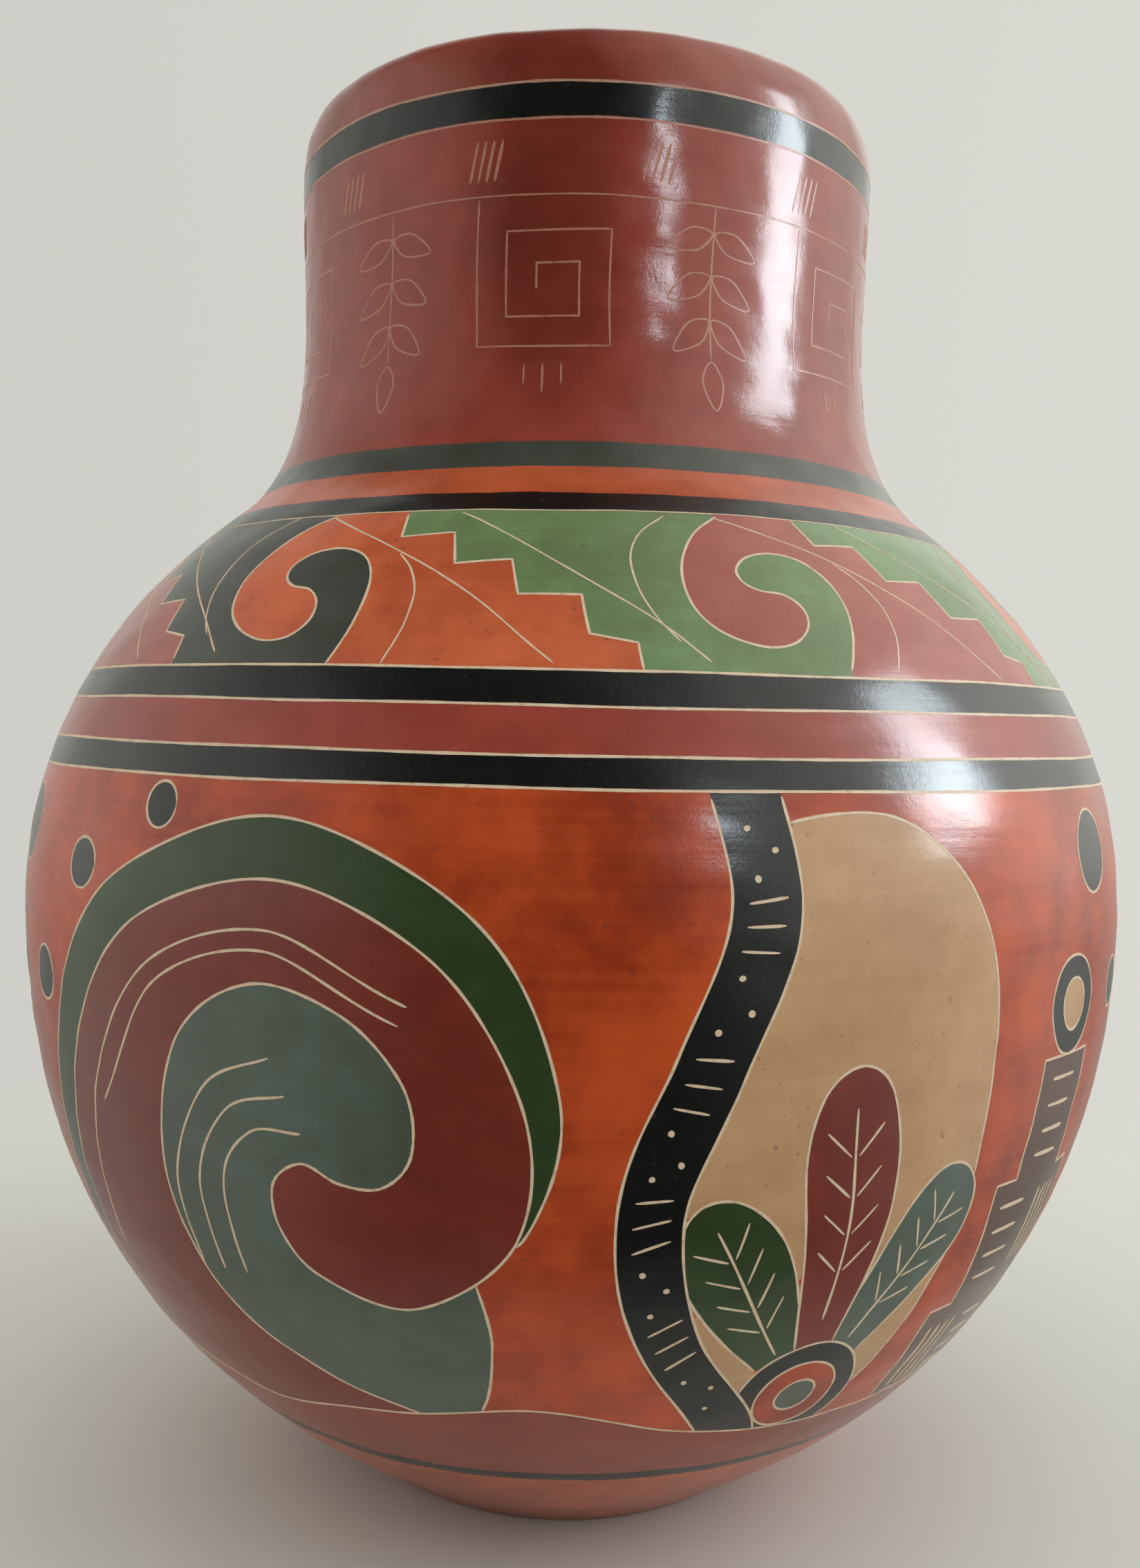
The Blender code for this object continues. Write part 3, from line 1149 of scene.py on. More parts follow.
@dataclass
class NeckCollar(Section):
    """The upright neck: a black band under the lip, a scribed ring with hatching, and keys and sprays.

    Attributes:
        band_low: Height of the band's lower edge.
        ring_height: Height of the scribed ring.
        shade_height: Height of the middle of its patches of painted shade.
        shade_reach: Half of their height.
        hatches: Groups of slanting strokes round the neck.
        keys: Square spirals round the neck, with a spray after each.
        starts: Where the first hatch, key and spray stand, as shares of their own spacing.
        radius: Radius at which the neck is flattened for drawing.
        freehand: Share of the hand's stray that the small drawings have.
        fine: Width of the keys' lines, in millimetres.
        hatch_width: Width of the hatching's lines, in millimetres.
    """

    band_low: float = 0.2390
    ring_height: float = 0.2272
    shade_height: float = 0.2230
    shade_reach: float = 0.026
    hatches: int = 12
    keys: int = 6
    starts: tuple[float, float, float] = (0.35, -0.12, 0.38)
    radius: float = 0.0545
    freehand: float = 0.6
    fine: float = 0.42
    hatch_width: float = 0.62

    def span(self) -> tuple[float, float]:
        """From the neck's root to the lip."""
        return self.wall.run_at(self.wall.neck_joint), self.wall.run_at(self.wall.rim_height)

    def fields(self, turn: Array, run: Array) -> Fields:
        """Patches of painted shade, the soot band that ends at the joint, and the black band under the lip.

        Args:
            turn: Angles round Z in radians.
            run: Distances along the outside line.

        Returns:
            Field of each slip.
        """
        # Darker maroon patches painted as shade, the front one where the camera side shades the neck.
        shade_patches = self.shade_patches(turn, run, self.shade_height, self.shade_reach)
        soot = self.band(run, self.wall.root_black_low, self.wall.neck_joint)
        black = self.band(run, self.band_low, self.wall.rim_height)
        return {Slip.MAROON: shade_patches, Slip.SOOT: soot, Slip.BLACK: black}

    def strokes(self) -> list[Stroke]:
        """Rings, hatching, keys and the sprays between them.

        Returns:
            The strokes.
        """
        strokes = [self.ring(self.band_low, self.ring_width), self.ring(self.ring_height, self.thin)]
        first_hatch, first_key, first_spray = self.starts
        for number in range(self.hatches):
            strokes += self.hatch(math.tau * (number + first_hatch) / self.hatches)
        for number in range(self.keys):
            strokes += self.key(math.tau * (number + first_key) / self.keys)
            strokes += self.spray(math.tau * (number + first_spray) / self.keys)
        return strokes

    def draw(self, turn: float, line: Array, width: float, closed: bool = False) -> Stroke:
        """A drawn line, moved to a turn and strayed by the hand as at that place round the neck.

        Args:
            turn: Turn that it stands at, in radians.
            line: Its points in millimetres, up from the scribed ring.
            width: Its width in millimetres.
            closed: Whether its last point joins the first.

        Returns:
            The stroke.
        """
        x, y = line.T
        radian_across = 60.0
        right, up = (self.freehand * stray for stray in hand(x + turn * radian_across, y))
        base = self.wall.run_at(self.ring_height)
        return Stroke(turn + (x + right) * MM / self.radius, base + (y + up) * MM, width, closed)

    def hatch(self, turn: float) -> list[Stroke]:
        """Four slanting strokes between the ring and the band."""
        feet = [1.45 * k - 1.2 for k in range(4)]
        return [self.draw(turn, straight([(x, 2.3), (x + 1.7, 8.6)]), self.hatch_width) for x in feet]

    def key(self, turn: float) -> list[Stroke]:
        """A square spiral that hangs from the ring, with a row of three short strokes under it.

        Args:
            turn: Turn of its middle, in radians.

        Returns:
            The strokes.
        """
        outer = ((-11.0, -0.4), (-11.0, -24.0), (11.0, -24.0), (11.0, -5.5), (-6.0, -5.5))
        inner = ((-6.0, -19.0), (6.0, -19.0), (6.0, -10.5), (-1.0, -10.5), (-1.0, -14.5))
        strokes = [self.draw(turn, straight([*outer, *inner]), self.fine)]
        for x in (-3.0, 0.0, 3.0):
            strokes.append(self.draw(turn, straight([(x, -27.0), (x, -32.0 + abs(x) / 2)]), self.fine))
        return strokes

    def spray(self, turn: float) -> list[Stroke]:
        """A hanging stem with three pairs of leaves and a leaf at its tip, each turned about its root.

        Args:
            turn: Turn of its stem, in radians.

        Returns:
            The strokes.
        """
        width = 0.40
        leaf = smooth(((0.3, 0.0), (3.2, 1.8), (6.4, 1.3), (8.8, 0.0), (6.4, -1.3), (3.2, -1.8)), closed=True)
        strokes = [self.draw(turn, straight([(0.0, -0.4), (0.0, -25.0)]), width)]
        for drop, lean in ((-4.5, 22.0), (-11.5, 30.0), (-18.5, 40.0), (-25.0, 90.0)):
            for angle in {math.radians(-lean), math.radians(lean - 180.0)}:
                across = np.array([[math.cos(angle), math.sin(angle)], [-math.sin(angle), math.cos(angle)]])
                strokes.append(self.draw(turn, leaf @ across + (0.0, drop), width, True))
        return strokes


@dataclass
class ShoulderDome(Section):
    """The shoulder: soft bands at the neck's root, a step-fret frieze with hooks, and three bands below it.

    The frieze's drawing is in degrees across and in shares of its height up, as one unit that repeats.

    Attributes:
        root_line: Heights of the black line over the frieze.
        frieze: Heights of the frieze.
        upper_black: Heights of the upper black band.
        crimson_band: Heights of the crimson band.
        lower_black: Heights of the lower black band.
        frieze_radius: Radius at which the frieze is flattened for drawing.
        uneven: How much wider than the rest the units at the front are.
        unit_rise: Degrees that a unit's height counts as, where points are spaced along its lines.
        edge_width: Width of the frieze's scribed edges, in millimetres.
        top_width: Width of the ring at the frieze's top, in millimetres.
        pairs: The two slips of each unit round the vase, from behind on the left.
        hook: The curled edge between a unit's two slips.
        steps: The stepped edge at a unit's end.
        thin_lines: Lines scribed within a unit.
    """

    root_line: tuple[float, float] = (0.1745, 0.1777)
    frieze: tuple[float, float] = (0.1499, 0.1745)
    upper_black: tuple[float, float] = (0.1450, 0.1499)
    crimson_band: tuple[float, float] = (0.1383, 0.1450)
    lower_black: tuple[float, float] = (0.1338, 0.1383)
    frieze_radius: float = 0.082
    uneven: float = 0.08
    unit_rise: float = 30.0
    edge_width: float = 0.46
    top_width: float = 0.3
    pairs: tuple[tuple[Slip, Slip], ...] = (
        (Slip.GREEN, Slip.EMBER),
        (Slip.SOOT, Slip.ROSE),
        (Slip.GREEN, Slip.ROSE),
        (Slip.SOOT, Slip.EMBER),
        (Slip.GREEN, Slip.ROSE),
        (Slip.GREEN, Slip.EMBER),
        (Slip.SOOT, Slip.ROSE),
        (Slip.SOOT, Slip.EMBER),
    )
    hook: tuple[Point, ...] = (
        (15.6, 1.0), (11.8, 0.86), (9.8, 0.68), (9.5, 0.50), (10.6, 0.32), (13.0, 0.20), (16.2, 0.14),
        (19.0, 0.165), (20.6, 0.26), (20.5, 0.37), (18.9, 0.45), (16.6, 0.475), (15.1, 0.53), (14.8, 0.61),
        (16.3, 0.69), (19.3, 0.72), (22.5, 0.67), (24.6, 0.55), (25.4, 0.40), (25.2, 0.24), (24.5, 0.11),
        (23.6, 0.0),
    )
    steps: tuple[Point, ...] = (
        (24.8, 1.0), (25.7, 0.79), (31.6, 0.81), (33.0, 0.585), (38.6, 0.61),
        (40.0, 0.39), (45.6, 0.40), (46.5, 0.185), (50.4, 0.15), (50.7, 0.0),
    )
    thin_lines: tuple[tuple[Point, ...], ...] = (
        ((26.6, 0.67), (28.7, 0.56), (30.1, 0.42), (30.3, 0.26), (29.8, 0.14), (28.9, 0.02)),
        ((14.6, 0.975), (25.9, 0.70), (35.8, 0.385), (43.6, 0.03)),
        ((9.2, 0.985), (6.1, 0.85), (4.8, 0.67), (5.4, 0.47), (6.9, 0.30), (8.9, 0.16)),
        ((-13.4, 0.975), (-9.0, 0.845), (0.45, 0.515), (7.4, 0.255), (11.2, 0.06)),
    )

    def span(self) -> tuple[float, float]:
        """From the joint under the lowest band to the neck's root."""
        return self.wall.run_at(self.wall.shoulder_joint), self.wall.run_at(self.wall.neck_joint)

    def turns(self) -> Array:
        """Columns spread like the hand-spaced frieze, a little wider at the front."""
        even = super().turns()
        return even + self.uneven * np.sin(even)

    @property
    def frieze_height(self) -> float:
        """Height of the frieze along the wall, in millimetres."""
        return (self.wall.run_at(self.frieze[1]) - self.wall.run_at(self.frieze[0])) / MM

    @property
    def unit_angle(self) -> float:
        """Width of a unit in degrees."""
        return 360.0 / len(self.pairs)

    def flat(self, unit: int, line: Array) -> Array:
        """A line of degrees and shares in one unit, in millimetres on the flattened frieze.

        Args:
            unit: Number of the unit, from behind on the left.
            line: The line as (degrees, share) rows.

        Returns:
            The line as (x, y) rows.
        """
        middle_unit = len(self.pairs) // 2
        across = np.radians(line[:, 0] + self.unit_angle * (unit - middle_unit)) * self.frieze_radius / MM
        return np.column_stack([across, line[:, 1] * self.frieze_height])

    @cached_property
    def painting(self) -> Painting:
        """The frieze: in each unit, one slip from the last steps to the hook and one on to the next steps."""
        scale = np.array([1.0, self.unit_rise])
        hook = smooth(np.array(self.hook) * scale) / scale
        steps = straight(np.array(self.steps) * scale) / scale
        thin = [smooth(np.array(line) * scale) / scale for line in self.thin_lines]
        art = Painting(math.tau * self.frieze_radius / MM, self.frieze_height, self.edge_width)
        for unit, (first, second) in enumerate(self.pairs):
            last_steps = self.flat(unit, steps - (self.unit_angle, 0.0))
            here, edge = self.flat(unit, hook), self.flat(unit, steps)
            art.paint(first, np.vstack([last_steps, here[::-1]]), (here,))
            art.paint(second, np.vstack([here, edge[::-1]]), (edge,))
            for line in thin:
                art.mark(self.flat(unit, line), self.thin)
        return art

    def fields(self, turn: Array, run: Array) -> Fields:
        """The frieze's slips and the painted bands above and below it.

        Args:
            turn: Angles round Z in radians.
            run: Distances along the outside line.

        Returns:
            Field of each slip.
        """
        even = np.broadcast_to(super().turns()[None, :], turn.shape)
        x = even * self.frieze_radius / MM
        margin = 1.0
        y = np.clip((run - self.wall.run_at(self.frieze[0])) / MM, margin, self.frieze_height - margin)
        inside = self.band(run, *self.frieze)
        fields = {slip: np.maximum(values, inside) for slip, values in self.painting.fields(x, y).items()}
        past_joint = self.wall.neck_joint + 0.0005
        root_black = self.band(run, self.wall.root_black_low, past_joint)
        fields[Slip.SOOT] = np.minimum(fields[Slip.SOOT], root_black)
        black = [self.band(run, *heights) for heights in (self.upper_black, self.lower_black, self.root_line)]
        fields[Slip.BLACK] = np.minimum.reduce(black)
        fields[Slip.CRIMSON] = self.band(run, *self.crimson_band)
        return fields

    def strokes(self) -> list[Stroke]:
        """The frieze's edges and thin lines, and the rings that part the bands.

        Returns:
            The strokes.
        """
        strokes = [self.ring(height, self.ring_width) for height in (*self.lower_black, *self.upper_black)]
        strokes.append(self.ring(self.frieze[1], self.top_width))
        base = self.wall.run_at(self.frieze[0])
        for line, width in self.painting.lines():
            even = line[:, 0] * MM / self.frieze_radius
            strokes.append(Stroke(even + self.uneven * np.sin(even), base + line[:, 1] * MM, width))
        return strokes


@dataclass
class BellyBowl(Section):
    """The belly: three panels of waves, plumes and stepped towers over a low ground, with a foot line.

    Attributes:
        panels: How often the panel repeats round the vase.
        panel_turn: Turn of the middle of the front panel.
        edge_width: Width of the scribed edges, in millimetres.
        fine: Width of the lines in the wave, in millimetres.
    """

    panels: int = 3
    panel_turn: float = math.radians(-19.0)
    edge_width: float = 0.48
    fine: float = 0.45

    def span(self) -> tuple[float, float]:
        """From the base's joint to the joint under the lowest band."""
        return self.wall.run_at(self.wall.base_joint), self.wall.run_at(self.wall.shoulder_joint)

    def turns(self) -> Array:
        """Columns that start with a panel."""
        return super().turns() + self.panel_turn

    @property
    def drawing_low(self) -> float:
        """Run at which the drawing starts."""
        return self.wall.run_at(self.wall.foot_line[1])

    @cached_property
    def painting(self) -> Painting:
        """One panel: plume field, ribbon, wave, tower and low ground, painted in that order."""
        width = math.tau * self.wall.belly_radius / MM / self.panels
        art = Painting(width, (self.span()[1] - self.drawing_low) / MM, self.edge_width)
        self.plume_field(art)
        self.dotted_ribbon(art)
        self.wave(art)
        self.tower(art)
        self.low_ground(art)
        return art

    def low_ground(self, art: Painting) -> None:
        """Brick-red hills along the foot, which meet themselves after one period.

        Args:
            art: The panel that they are painted on.
        """
        half, overlap, below = art.period / 2, 0.5, -9.0
        tops = (11.0, 12.0, 15.0, 12.0, 16.0, 21.0, 15.0, 11.0)
        count = len(tops)
        top = smooth([(-half + art.period * k / count, tops[k % count]) for k in range(-1, count + 2)])
        shown = top[np.abs(top[:, 0]) < half + overlap]
        art.paint(Slip.BRICK, np.vstack([top, [(top[-1, 0], below), (top[0, 0], below)]]), (shown,))

    def plume_field(self, art: Painting) -> None:
        """A cream field with a fan of three plumes that rise from a ringed disc.

        Args:
            art: The panel that it is painted on.
        """
        outer = ((62, 111), (82, 112), (97, 100), (102, 78), (101, 50), (95, 27), (83, 13))
        inner = ((69, 9), (54, 34), (47, 58), (55, 80), (60, 100))
        art.paint(Slip.CREAM, smooth((*outer, *inner), closed=True))
        root = (78.0, 20.0)
        plumes = ((122, 46, Slip.DARK_GREEN), (62, 46, Slip.GREY_GREEN), (92, 58, Slip.MAROON))
        for angle, length, slip in plumes:
            self.plume(art, root, math.radians(angle), length, slip)
        art.paint(Slip.BLACK, disc(root, 12.5))
        art.paint(Slip.ORANGE, disc(root, 8.2))
        art.paint(Slip.GREY_GREEN, disc(root, 4.0))

    def plume(self, art: Painting, root: Point, angle: float, length: float, slip: Slip) -> None:
        """A rounded plume from a root, with a quill and slanting barbs.

        Its drawing has shares of its length along it and millimetres across it.

        Args:
            art: The panel that it is painted on.
            root: Where it starts.
            angle: Angle that it leans to, in radians from x.
            length: Its length.
            slip: The slip that it is painted in.
        """
        quill_width, barb_width = 0.5, 0.42
        along = np.array([math.cos(angle), math.sin(angle)])
        side = np.array([-along[1], along[0]])
        left = ((0.0, 0.0), (0.35, 5.0), (0.72, 7.8), (0.93, 5.6), (1.0, 0.0))
        right = ((0.93, -5.6), (0.72, -7.8), (0.35, -5.0))
        edge = [root + t * length * along + w * side for t, w in (*left, *right)]
        art.paint(slip, smooth(edge, closed=True))
        art.mark(straight([root + t * length * along for t in (0.30, 0.90)]), quill_width)
        for t in (0.45, 0.56, 0.67, 0.78):
            for way in (-1, 1):
                inner = root + t * length * along + 0.6 * way * side
                art.mark(straight([inner, inner + 4.2 * along + 4.0 * way * side]), barb_width)

    def dotted_ribbon(self, art: Painting) -> None:
        """A black ribbon that sways from the bands to the ground, with dots and groups of short strokes.

        Args:
            art: The panel that it is painted on.
        """
        ribbon_width, dot_width, stroke_width, apart = 10.0, 1.05, 0.5, 5
        centre = smooth(((57, 124), (61, 102), (54, 79), (46, 57), (52, 35), (66, 14), (70, 4)))
        art.paint(Slip.BLACK, ribbon(centre, ribbon_width))
        inner = centre[(centre[:, 1] < 112) & (centre[:, 1] > 19)]
        left = offset(inner, 1.0) - inner
        for number, (place, side) in enumerate(zip(inner[::apart], left[::apart])):
            if number % 6 < 3:
                spot = place + side * (1.6 if number % 2 else -1.6)
                art.mark(straight([spot, spot + (0.9, 0.3)], 0.3), dot_width)
            else:
                art.mark(straight([place - 2.6 * side, place + 2.6 * side + (0.4, 1.4)]), stroke_width)

    def wave(self, art: Painting) -> None:
        """A maroon wave that curls over a grey-green pocket, with a green border and dots along its back.

        The border is widest at the middle of the back: a power of half a sine wave.

        Args:
            art: The panel that it is painted on.
        """
        pocket_left = ((-33, 38), (-37, 60), (-28, 82), (-10, 91), (8, 88))
        pocket_right = ((17, 74), (20, 52), (23, 34), (15, 16), (-10, 20))
        art.paint(Slip.GREY_GREEN, smooth((*pocket_left, *pocket_right), closed=True))
        for k in range(3):
            foot = ((-28 + 5 * k, 42), (-29 + 5 * k, 58))
            head = ((-21 + 4 * k, 72 - 3 * k), (-8 + 2 * k, 77 - 5 * k))
            art.mark(smooth((*foot, *head)), self.fine)
        back = ((-64, 4), (-63, 38), (-54, 71), (-36, 94), (-9, 102), (15, 93.5), (28, 74), (26.5, 53))
        curl = ((12, 41), (-3, 44), (-9, 51), (-9.5, 58.5), (-4.5, 62.5), (1.5, 60.5), (8, 61))
        inner = ((12.6, 66.5), (12, 76), (3.5, 84.5), (-11, 87), (-26, 78))
        inner_low = ((-32, 58.5), (-25, 36), (-8, 23), (15, 16))
        spine = smooth(back)
        border = offset(spine, 8.5 * np.sin(np.linspace(0.0, math.pi, len(spine))) ** 0.55)
        art.paint(Slip.DARK_GREEN, np.vstack([spine, border[::-1]]), (border,))
        edge = smooth((*back, *curl, *inner, *inner_low))
        art.paint(Slip.MAROON, np.vstack([edge, [(15, 2), (-64, 2)]]), (edge,))
        art.mark(offset(smooth(back[1:6]), -7.0), self.fine)
        art.mark(offset(smooth(back[2:6]), -10.0), self.fine)
        for place, radius in (((-66, 82), 4.6), ((-51, 101), 4.0), ((-32, 112), 3.4), ((-83, 106), 6.5)):
            art.paint(Slip.BLACK, disc(place, radius))

    def tower(self, art: Painting) -> None:
        """A brown stepped tower with hatching laid both ways, and a ringed disc on its top.

        Args:
            art: The panel that it is painted on.
        """
        middle, hatch_width = -91.0, 0.75
        half = ((20.5, 8.0), (20.5, 32.0), (14.5, 32.0), (14.5, 54.0), (8.5, 54.0), (8.5, 74.0))
        left = [(middle - w, y) for w, y in half]
        right = [(middle + w, y) for w, y in reversed(half)]
        edge = straight([*left, *right])
        art.paint(Slip.BROWN, edge, (edge,))
        rows = ((-12.5, 20, 0), (0.0, 20, 1), (12.5, 20, 0), (-7.2, 43, 1), (7.2, 43, 0), (0.0, 64, 1))
        for x, y, way in rows:
            for k in (-3.6, -1.2, 1.2, 3.6):
                level = ((x - 4.2, y + 1.8 * k), (x + 4.2, y + 1.8 * k))
                upright = ((x + 1.1 * k, y - 7.4), (x + 1.1 * k, y + 7.4))
                ends = level if way else upright
                art.mark(straight([(middle + a, b) for a, b in ends]), hatch_width)
        art.paint(Slip.BLACK, disc((middle, 82.0), 8.0))
        art.paint(Slip.CREAM, disc((middle, 82.0), 4.2))

    def fields(self, turn: Array, run: Array) -> Fields:
        """The panel's slips, worked out once and repeated round the vase, and the black foot line.

        Args:
            turn: Angles round Z in radians.
            run: Distances along the outside line.

        Returns:
            Field of each slip.
        """
        columns = self.columns // self.panels
        x = np.linspace(-0.5, 0.5, columns, endpoint=False) * self.painting.period
        y = (run[:, 0] - self.drawing_low) / MM
        panel = self.painting.fields(*np.meshgrid(x, y))
        fields = {slip: np.tile(values, (1, self.panels)) for slip, values in panel.items()}
        line = self.band(run, *self.wall.foot_line)
        fields = {slip: np.maximum(values, -line) for slip, values in fields.items()}
        fields[Slip.BLACK] = np.minimum(fields[Slip.BLACK], line)
        return fields

    def strokes(self) -> list[Stroke]:
        """The panel's scribed edges and marks, repeated round the vase.

        Returns:
            The strokes.
        """
        strokes = []
        for line, width in self.painting.lines():
            turn = self.panel_turn + line[:, 0] * MM / self.wall.belly_radius
            run = self.drawing_low + line[:, 1] * MM
            for panel in range(self.panels):
                strokes.append(Stroke(turn + math.tau * panel / self.panels, run, width))
        return strokes


@dataclass
class BaseDish(Section):
    """The base: an orange-red foot under the foot line, a flat underside and the floor inside.

    Attributes:
        axis_gap: Run of its first row, near the underside's centre.
        corner_clear: How far its inside keeps from the turn at the foot's edge, up the wall and on the floor.
        wall_rows: Rows of its inside on the wall.
        floor_rows: Rows of its inside on the floor.
    """

    axis_gap: float = 0.002
    corner_clear: Point = (0.005, 0.003)
    wall_rows: int = 10
    floor_rows: int = 8

    def span(self) -> tuple[float, float]:
        """From near the underside's centre to the base's joint."""
        return self.axis_gap, self.wall.run_at(self.wall.base_joint)

    def inner_rows(self) -> tuple[Array, Array]:
        """The joint face, and the inside down to the floor's middle.

        Returns:
            Runs and lifts.
        """
        low, high = self.span()
        edge = self.wall.base_radius
        up_clear, floor_clear = self.corner_clear
        on_wall = np.linspace(high, edge + up_clear, self.wall_rows)
        run = np.append(on_wall, np.linspace(edge - floor_clear, low, self.floor_rows))
        lift = -self.wall.thickness(run)
        return np.append(high - self.wall.joint_hollow, run), np.append(lift[0] / 2, lift)

    def fields(self, turn: Array, run: Array) -> Fields:
        """The part of the foot line below the joint."""
        return {Slip.BLACK: self.band(run, *self.wall.foot_line)}

    def closed(self) -> bool:
        """The half-section starts and ends on the axis."""
        return False


class Effect(Enum):
    """What a lamp lights."""

    GLOSS = "the gloss only"
    MATT = "the matt colour only"


@dataclass(frozen=True)
class Studio:
    """Camera, light and a pale floor under the vase.

    Attributes:
        frame_pixels: Width and height of the picture.
        focal_pixels: Focal length in pixels of that picture.
        distance: How far the camera stands from the vase's axis.
        height: Its height above the table.
        yaw: Its turn to the right, in degrees.
        pitch: Its tilt upwards, in degrees.
        roll: Its lean, in degrees.
        floor_radius: Radius of the floor.
        gloss_radius: Radius of what gloss shows of the floor.
        floor_colour: Colour of the floor.
        room_colour: Colour of the room's light.
        wall_light: Strength of the wall behind the vase.
        day_colour: Colour of the windows' light.
        aim_height: Height of the vase's middle, which the windows face.
        dimming: How much dimmer a window is at its top.
    """

    frame_pixels: tuple[int, int] = (1649, 2268)
    focal_pixels: float = 2075.6
    distance: float = 0.28882
    height: float = 0.14344
    yaw: float = -0.161
    pitch: float = -2.709
    roll: float = -1.233
    floor_radius: float = 0.34
    gloss_radius: float = 0.16
    floor_colour: Colour = (0.66, 0.66, 0.62)
    room_colour: Colour = (1.0, 0.99, 0.925)
    wall_light: float = 0.66
    day_colour: Colour = (0.82, 0.93, 1.0)
    aim_height: float = 0.155
    dimming: float = 0.60

    def camera(self) -> None:
        """Places the camera as the picture was taken, with the frame's long side as its sensor's width."""
        yaw, pitch, roll = map(math.radians, (self.yaw, self.pitch, self.roll))
        level = math.cos(pitch)
        forward = np.array([math.sin(yaw) * level, math.cos(yaw) * level, math.sin(pitch)])
        right = np.array([math.cos(yaw), -math.sin(yaw), 0.0])
        down = np.cross(forward, right)
        leaning_right = math.cos(roll) * right + math.sin(roll) * down
        leaning_down = math.cos(roll) * down - math.sin(roll) * right
        data = bpy.data.cameras.new("camera")
        data.sensor_width = 36.0
        data.lens = self.focal_pixels * data.sensor_width / max(self.frame_pixels)
        data.clip_start = 0.01
        eye = bpy.data.objects.new("camera", data)
        turned = np.eye(4)
        turned[:3, :3] = np.column_stack([leaning_right, -leaning_down, -forward])
        turned[:3, 3] = (0.0, -self.distance, self.height)
        eye.matrix_world = Matrix(turned.tolist())
        bpy.context.scene.collection.objects.link(eye)
        bpy.context.scene.camera = eye

    def floor(self) -> None:
        """A round pale floor: rings that widen outwards, each at one radius about Z.

        It fades out at its edge, and sooner in what gloss shows of it.
        """
        rings, columns, inmost = 12, 96, 0.02
        turn = np.linspace(0.0, math.tau, columns, endpoint=False)
        radius = np.geomspace(inmost, self.floor_radius, rings)
        x, y = radius[:, None] * np.cos(turn), radius[:, None] * np.sin(turn)
        points = np.stack([x, y, 0.0 * x], axis=-1)
        index = np.arange(rings * columns).reshape(rings, columns)
        ring = np.roll(index, -1, axis=1)
        quads = np.stack([index[:-1], index[1:], ring[1:], ring[:-1]], axis=-1).reshape(-1, 4).tolist()
        mesh = bpy.data.meshes.new("floor")
        mesh.from_pydata(points.reshape(-1, 3).tolist(), [], [*quads, index[0].tolist()])
        g = Graph(bpy.data.materials.new("floor"))
        pale = tuple(c * 0.96 for c in self.floor_colour)
        away = g.node("ShaderNodeVectorMath", {"operation": "LENGTH"}, {0: g.object_point}, "Value")
        g.surface(base_color=g.blend(g.noise(30.0, 3.0), pale, self.floor_colour), roughness=0.9)
        glossy = g.node("ShaderNodeLightPath", {}, {}, "Is Glossy Ray")
        far, near = (away.ramp(edge, 0.6 * edge) for edge in (self.floor_radius, self.gloss_radius))
        g.surface(alpha=far + glossy * (near - far))
        mesh.materials.append(g.owner)
        show(mesh)

    def window(
        self,
        name: str,
        effect: Effect,
        azimuth: float,
        elevation: float,
        away: float,
        size: Point,
        watts: float,
    ) -> None:
        """A soft rectangular light that faces the vase and dims towards its top.

        Args:
            name: Name of the light.
            effect: What it lights.
            azimuth: Angle in degrees from the camera's side, towards +X.
            elevation: Angle in degrees above the vase's middle.
            away: Distance from the vase.
            size: Width and height.
            watts: Power.
        """
        turn, rise = math.radians(azimuth), math.radians(elevation)
        level = math.cos(rise)
        towards = np.array([level * math.sin(turn), -level * math.cos(turn), math.sin(rise)])
        across = np.array([math.cos(turn), math.sin(turn), 0.0])
        data = bpy.data.lights.new(name, "AREA")
        data.shape = "RECTANGLE"
        data.size, data.size_y = size
        data.energy = watts
        data.color = self.day_colour
        lamp = bpy.data.objects.new(name, data)
        turned = np.eye(4)
        turned[:3, :3] = np.column_stack([across, np.cross(towards, across), towards])
        turned[:3, 3] = towards * away + (0.0, 0.0, self.aim_height)
        lamp.matrix_world = Matrix(turned.tolist())
        g = Graph(data, "Emission")
        across_and_up = g.node("ShaderNodeNewGeometry", {}, {}, "Parametric")
        share_up = g.node("ShaderNodeSeparateXYZ", {}, {0: across_and_up}, "Y")
        g.surface(strength=1.0 - share_up * self.dimming)
        lamp.visible_diffuse = effect is Effect.MATT
        lamp.visible_glossy = effect is Effect.GLOSS
        bpy.context.scene.collection.objects.link(lamp)

    def light(self) -> None:
        """A tall window on the right and a small one in front that shine on gloss, and soft daylight."""
        self.window("window_right", Effect.GLOSS, 77.5, 24.0, 0.7, (0.19, 0.362), 4.8)
        self.window("window_front", Effect.GLOSS, 28.8, 20.0, 1.3, (0.09, 0.12), 1.3)
        self.window("daylight", Effect.MATT, 78.0, 30.0, 1.5, (1.0, 1.2), 12.5)

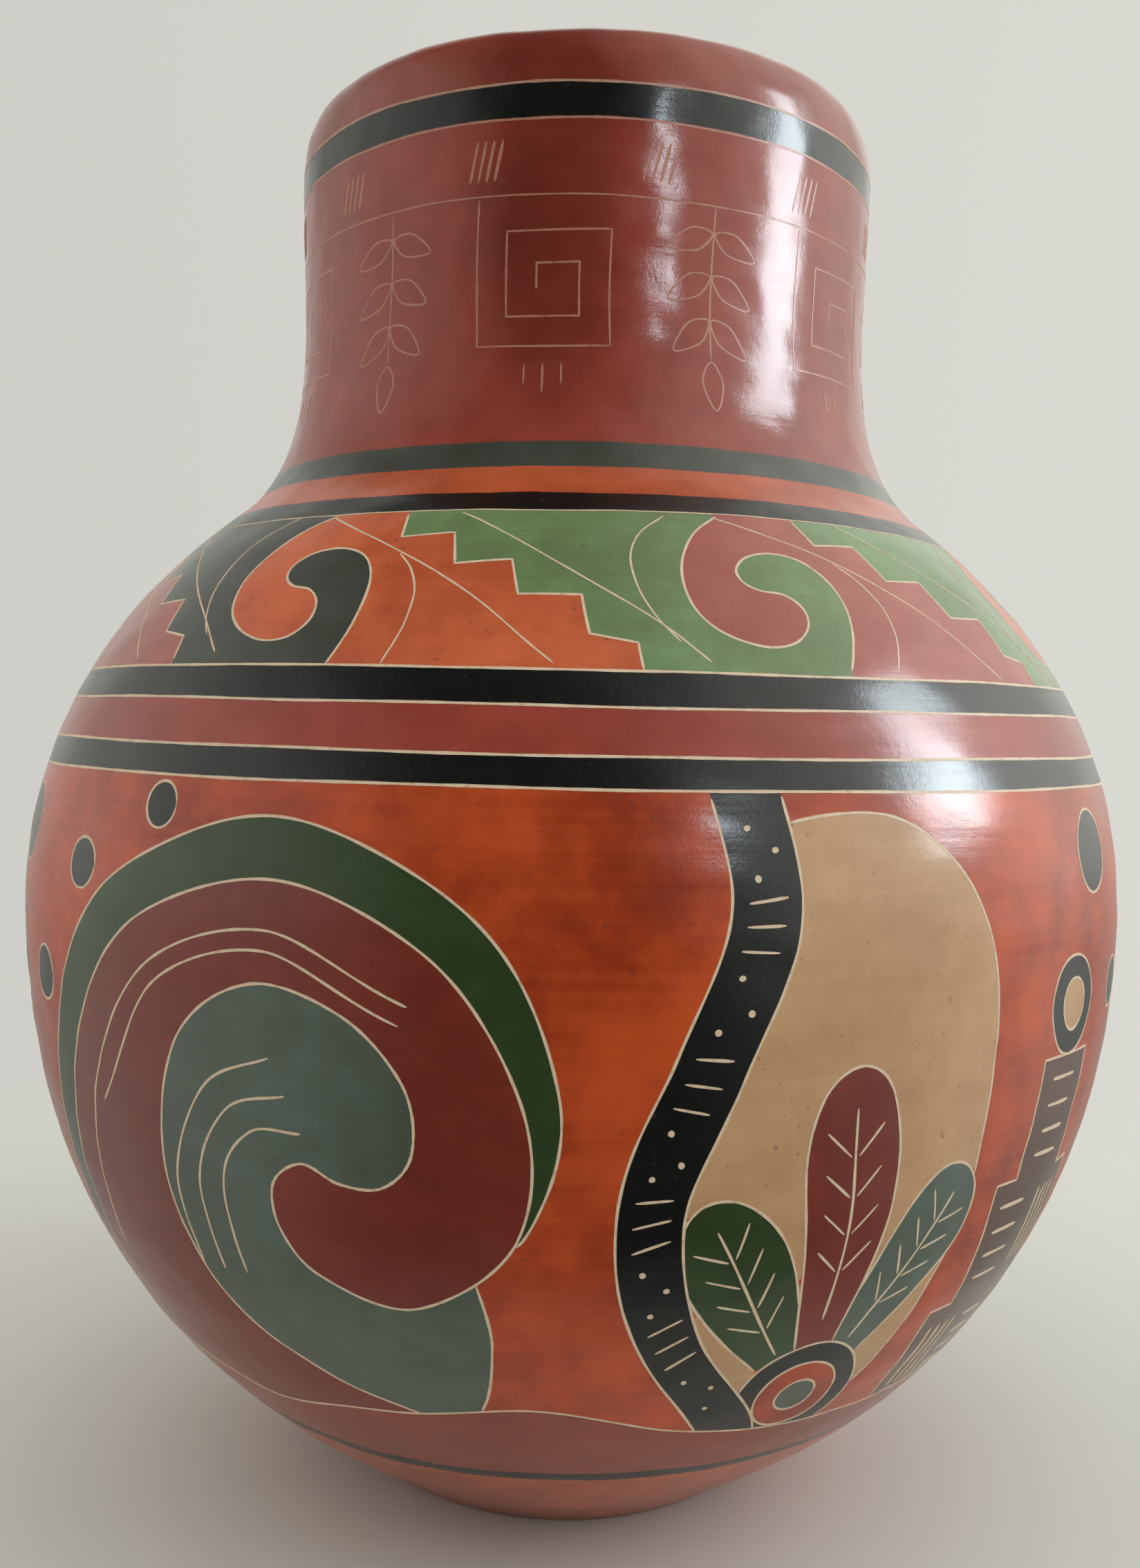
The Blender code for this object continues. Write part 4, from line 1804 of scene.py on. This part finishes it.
    def room(self) -> None:
        """The room: a pale wall for the camera, soft light for matt surfaces, and a graded room for gloss.

        The soft light is stronger from above and weaker from where the camera stands. What gloss shows is dim
        in front, brighter to the left, brightest to the right and like the wall behind, which is brighter
        high on its right. All but the front is dimmer below the horizon.
        """
        g = Graph(bpy.data.worlds.new("room"), "Background")
        towards = g.node("ShaderNodeTexCoord", {}, {}, "Generated")
        right, back, up = (g.node("ShaderNodeSeparateXYZ", {}, {0: towards}, axis) for axis in "XYZ")
        camera = g.node("ShaderNodeLightPath", {}, {}, "Is Camera Ray")
        glossy = g.node("ShaderNodeLightPath", {}, {}, "Is Glossy Ray")
        matt = 0.76 + up * 0.30 - back.ramp(-0.55, -1.0) * 0.42
        horizon = up.ramp(-0.20, 0.08)
        window_side = (right + up * 0.35).ramp(0.2, 1.2) * (1.2 + horizon)
        sides = 0.09 + window_side + right.ramp(-0.4, -1.0) * (0.6 + horizon * 0.36)
        behind = (0.6 + horizon * (0.4 + (right + up).ramp(0.3, 1.0) * 0.8)) * self.wall_light
        gloss = sides + back.ramp(0.3, 0.7) * (behind - sides)
        seen = self.wall_light + right * 0.10
        strength = matt + glossy * (gloss - matt) + camera * (seen - matt)
        g.surface(color=(*self.room_colour, 1.0), strength=strength)
        bpy.context.scene.world = g.owner

    def build(self) -> None:
        """Makes the camera, the floor, the lights and the room, and keeps colours as they are written."""
        self.camera()
        self.floor()
        self.light()
        self.room()
        bpy.context.scene.view_settings.view_transform = "Standard"


def main() -> None:
    """Builds the studio and the five sections from the lip down."""
    logging.basicConfig(level=logging.INFO, format="%(name)s: %(message)s")
    wall = TurnedWall()
    # Maroon on lip and neck is only their patches of painted shade, blurred over 5 mm.
    soft = {Slip.SOOT: 0.35, Slip.MAROON: 5.0}
    rubbed = BurnishedSlip(gloss_roughness=0.165)
    lip_lines = ScribedClay(colour=(0.44, 0.245, 0.175), roughness=0.40)
    neck_lines = ScribedClay(colour=(0.44, 0.18, 0.125), roughness=0.34)
    sections: list[Section] = [
        RolledLip(
            wall,
            node="rolled_lip",
            slot="lip_slip",
            ground=Slip.BRICK,
            row_step=0.0009,
            soft=soft,
            finish=rubbed,
            line_finish=lip_lines,
        ),
        NeckCollar(
            wall,
            node="neck_collar",
            slot="neck_slip",
            ground=Slip.WINE,
            row_step=0.0007,
            soft=soft,
            finish=rubbed,
            line_finish=neck_lines,
        ),
        ShoulderDome(wall, node="shoulder_dome", slot="frieze_slip", ground=Slip.RUST, row_step=0.00075),
        BellyBowl(wall, node="belly_bowl", slot="belly_slip", ground=Slip.ORANGE, row_step=0.00102),
        BaseDish(wall, node="base_dish", slot="foot_slip", ground=Slip.RUST, row_step=0.0012),
    ]
    Studio().build()
    for section in sections:
        for piece in section.build():
            log.info("%s rides on the vase", piece.name)


if __name__ == "__main__":
    main()
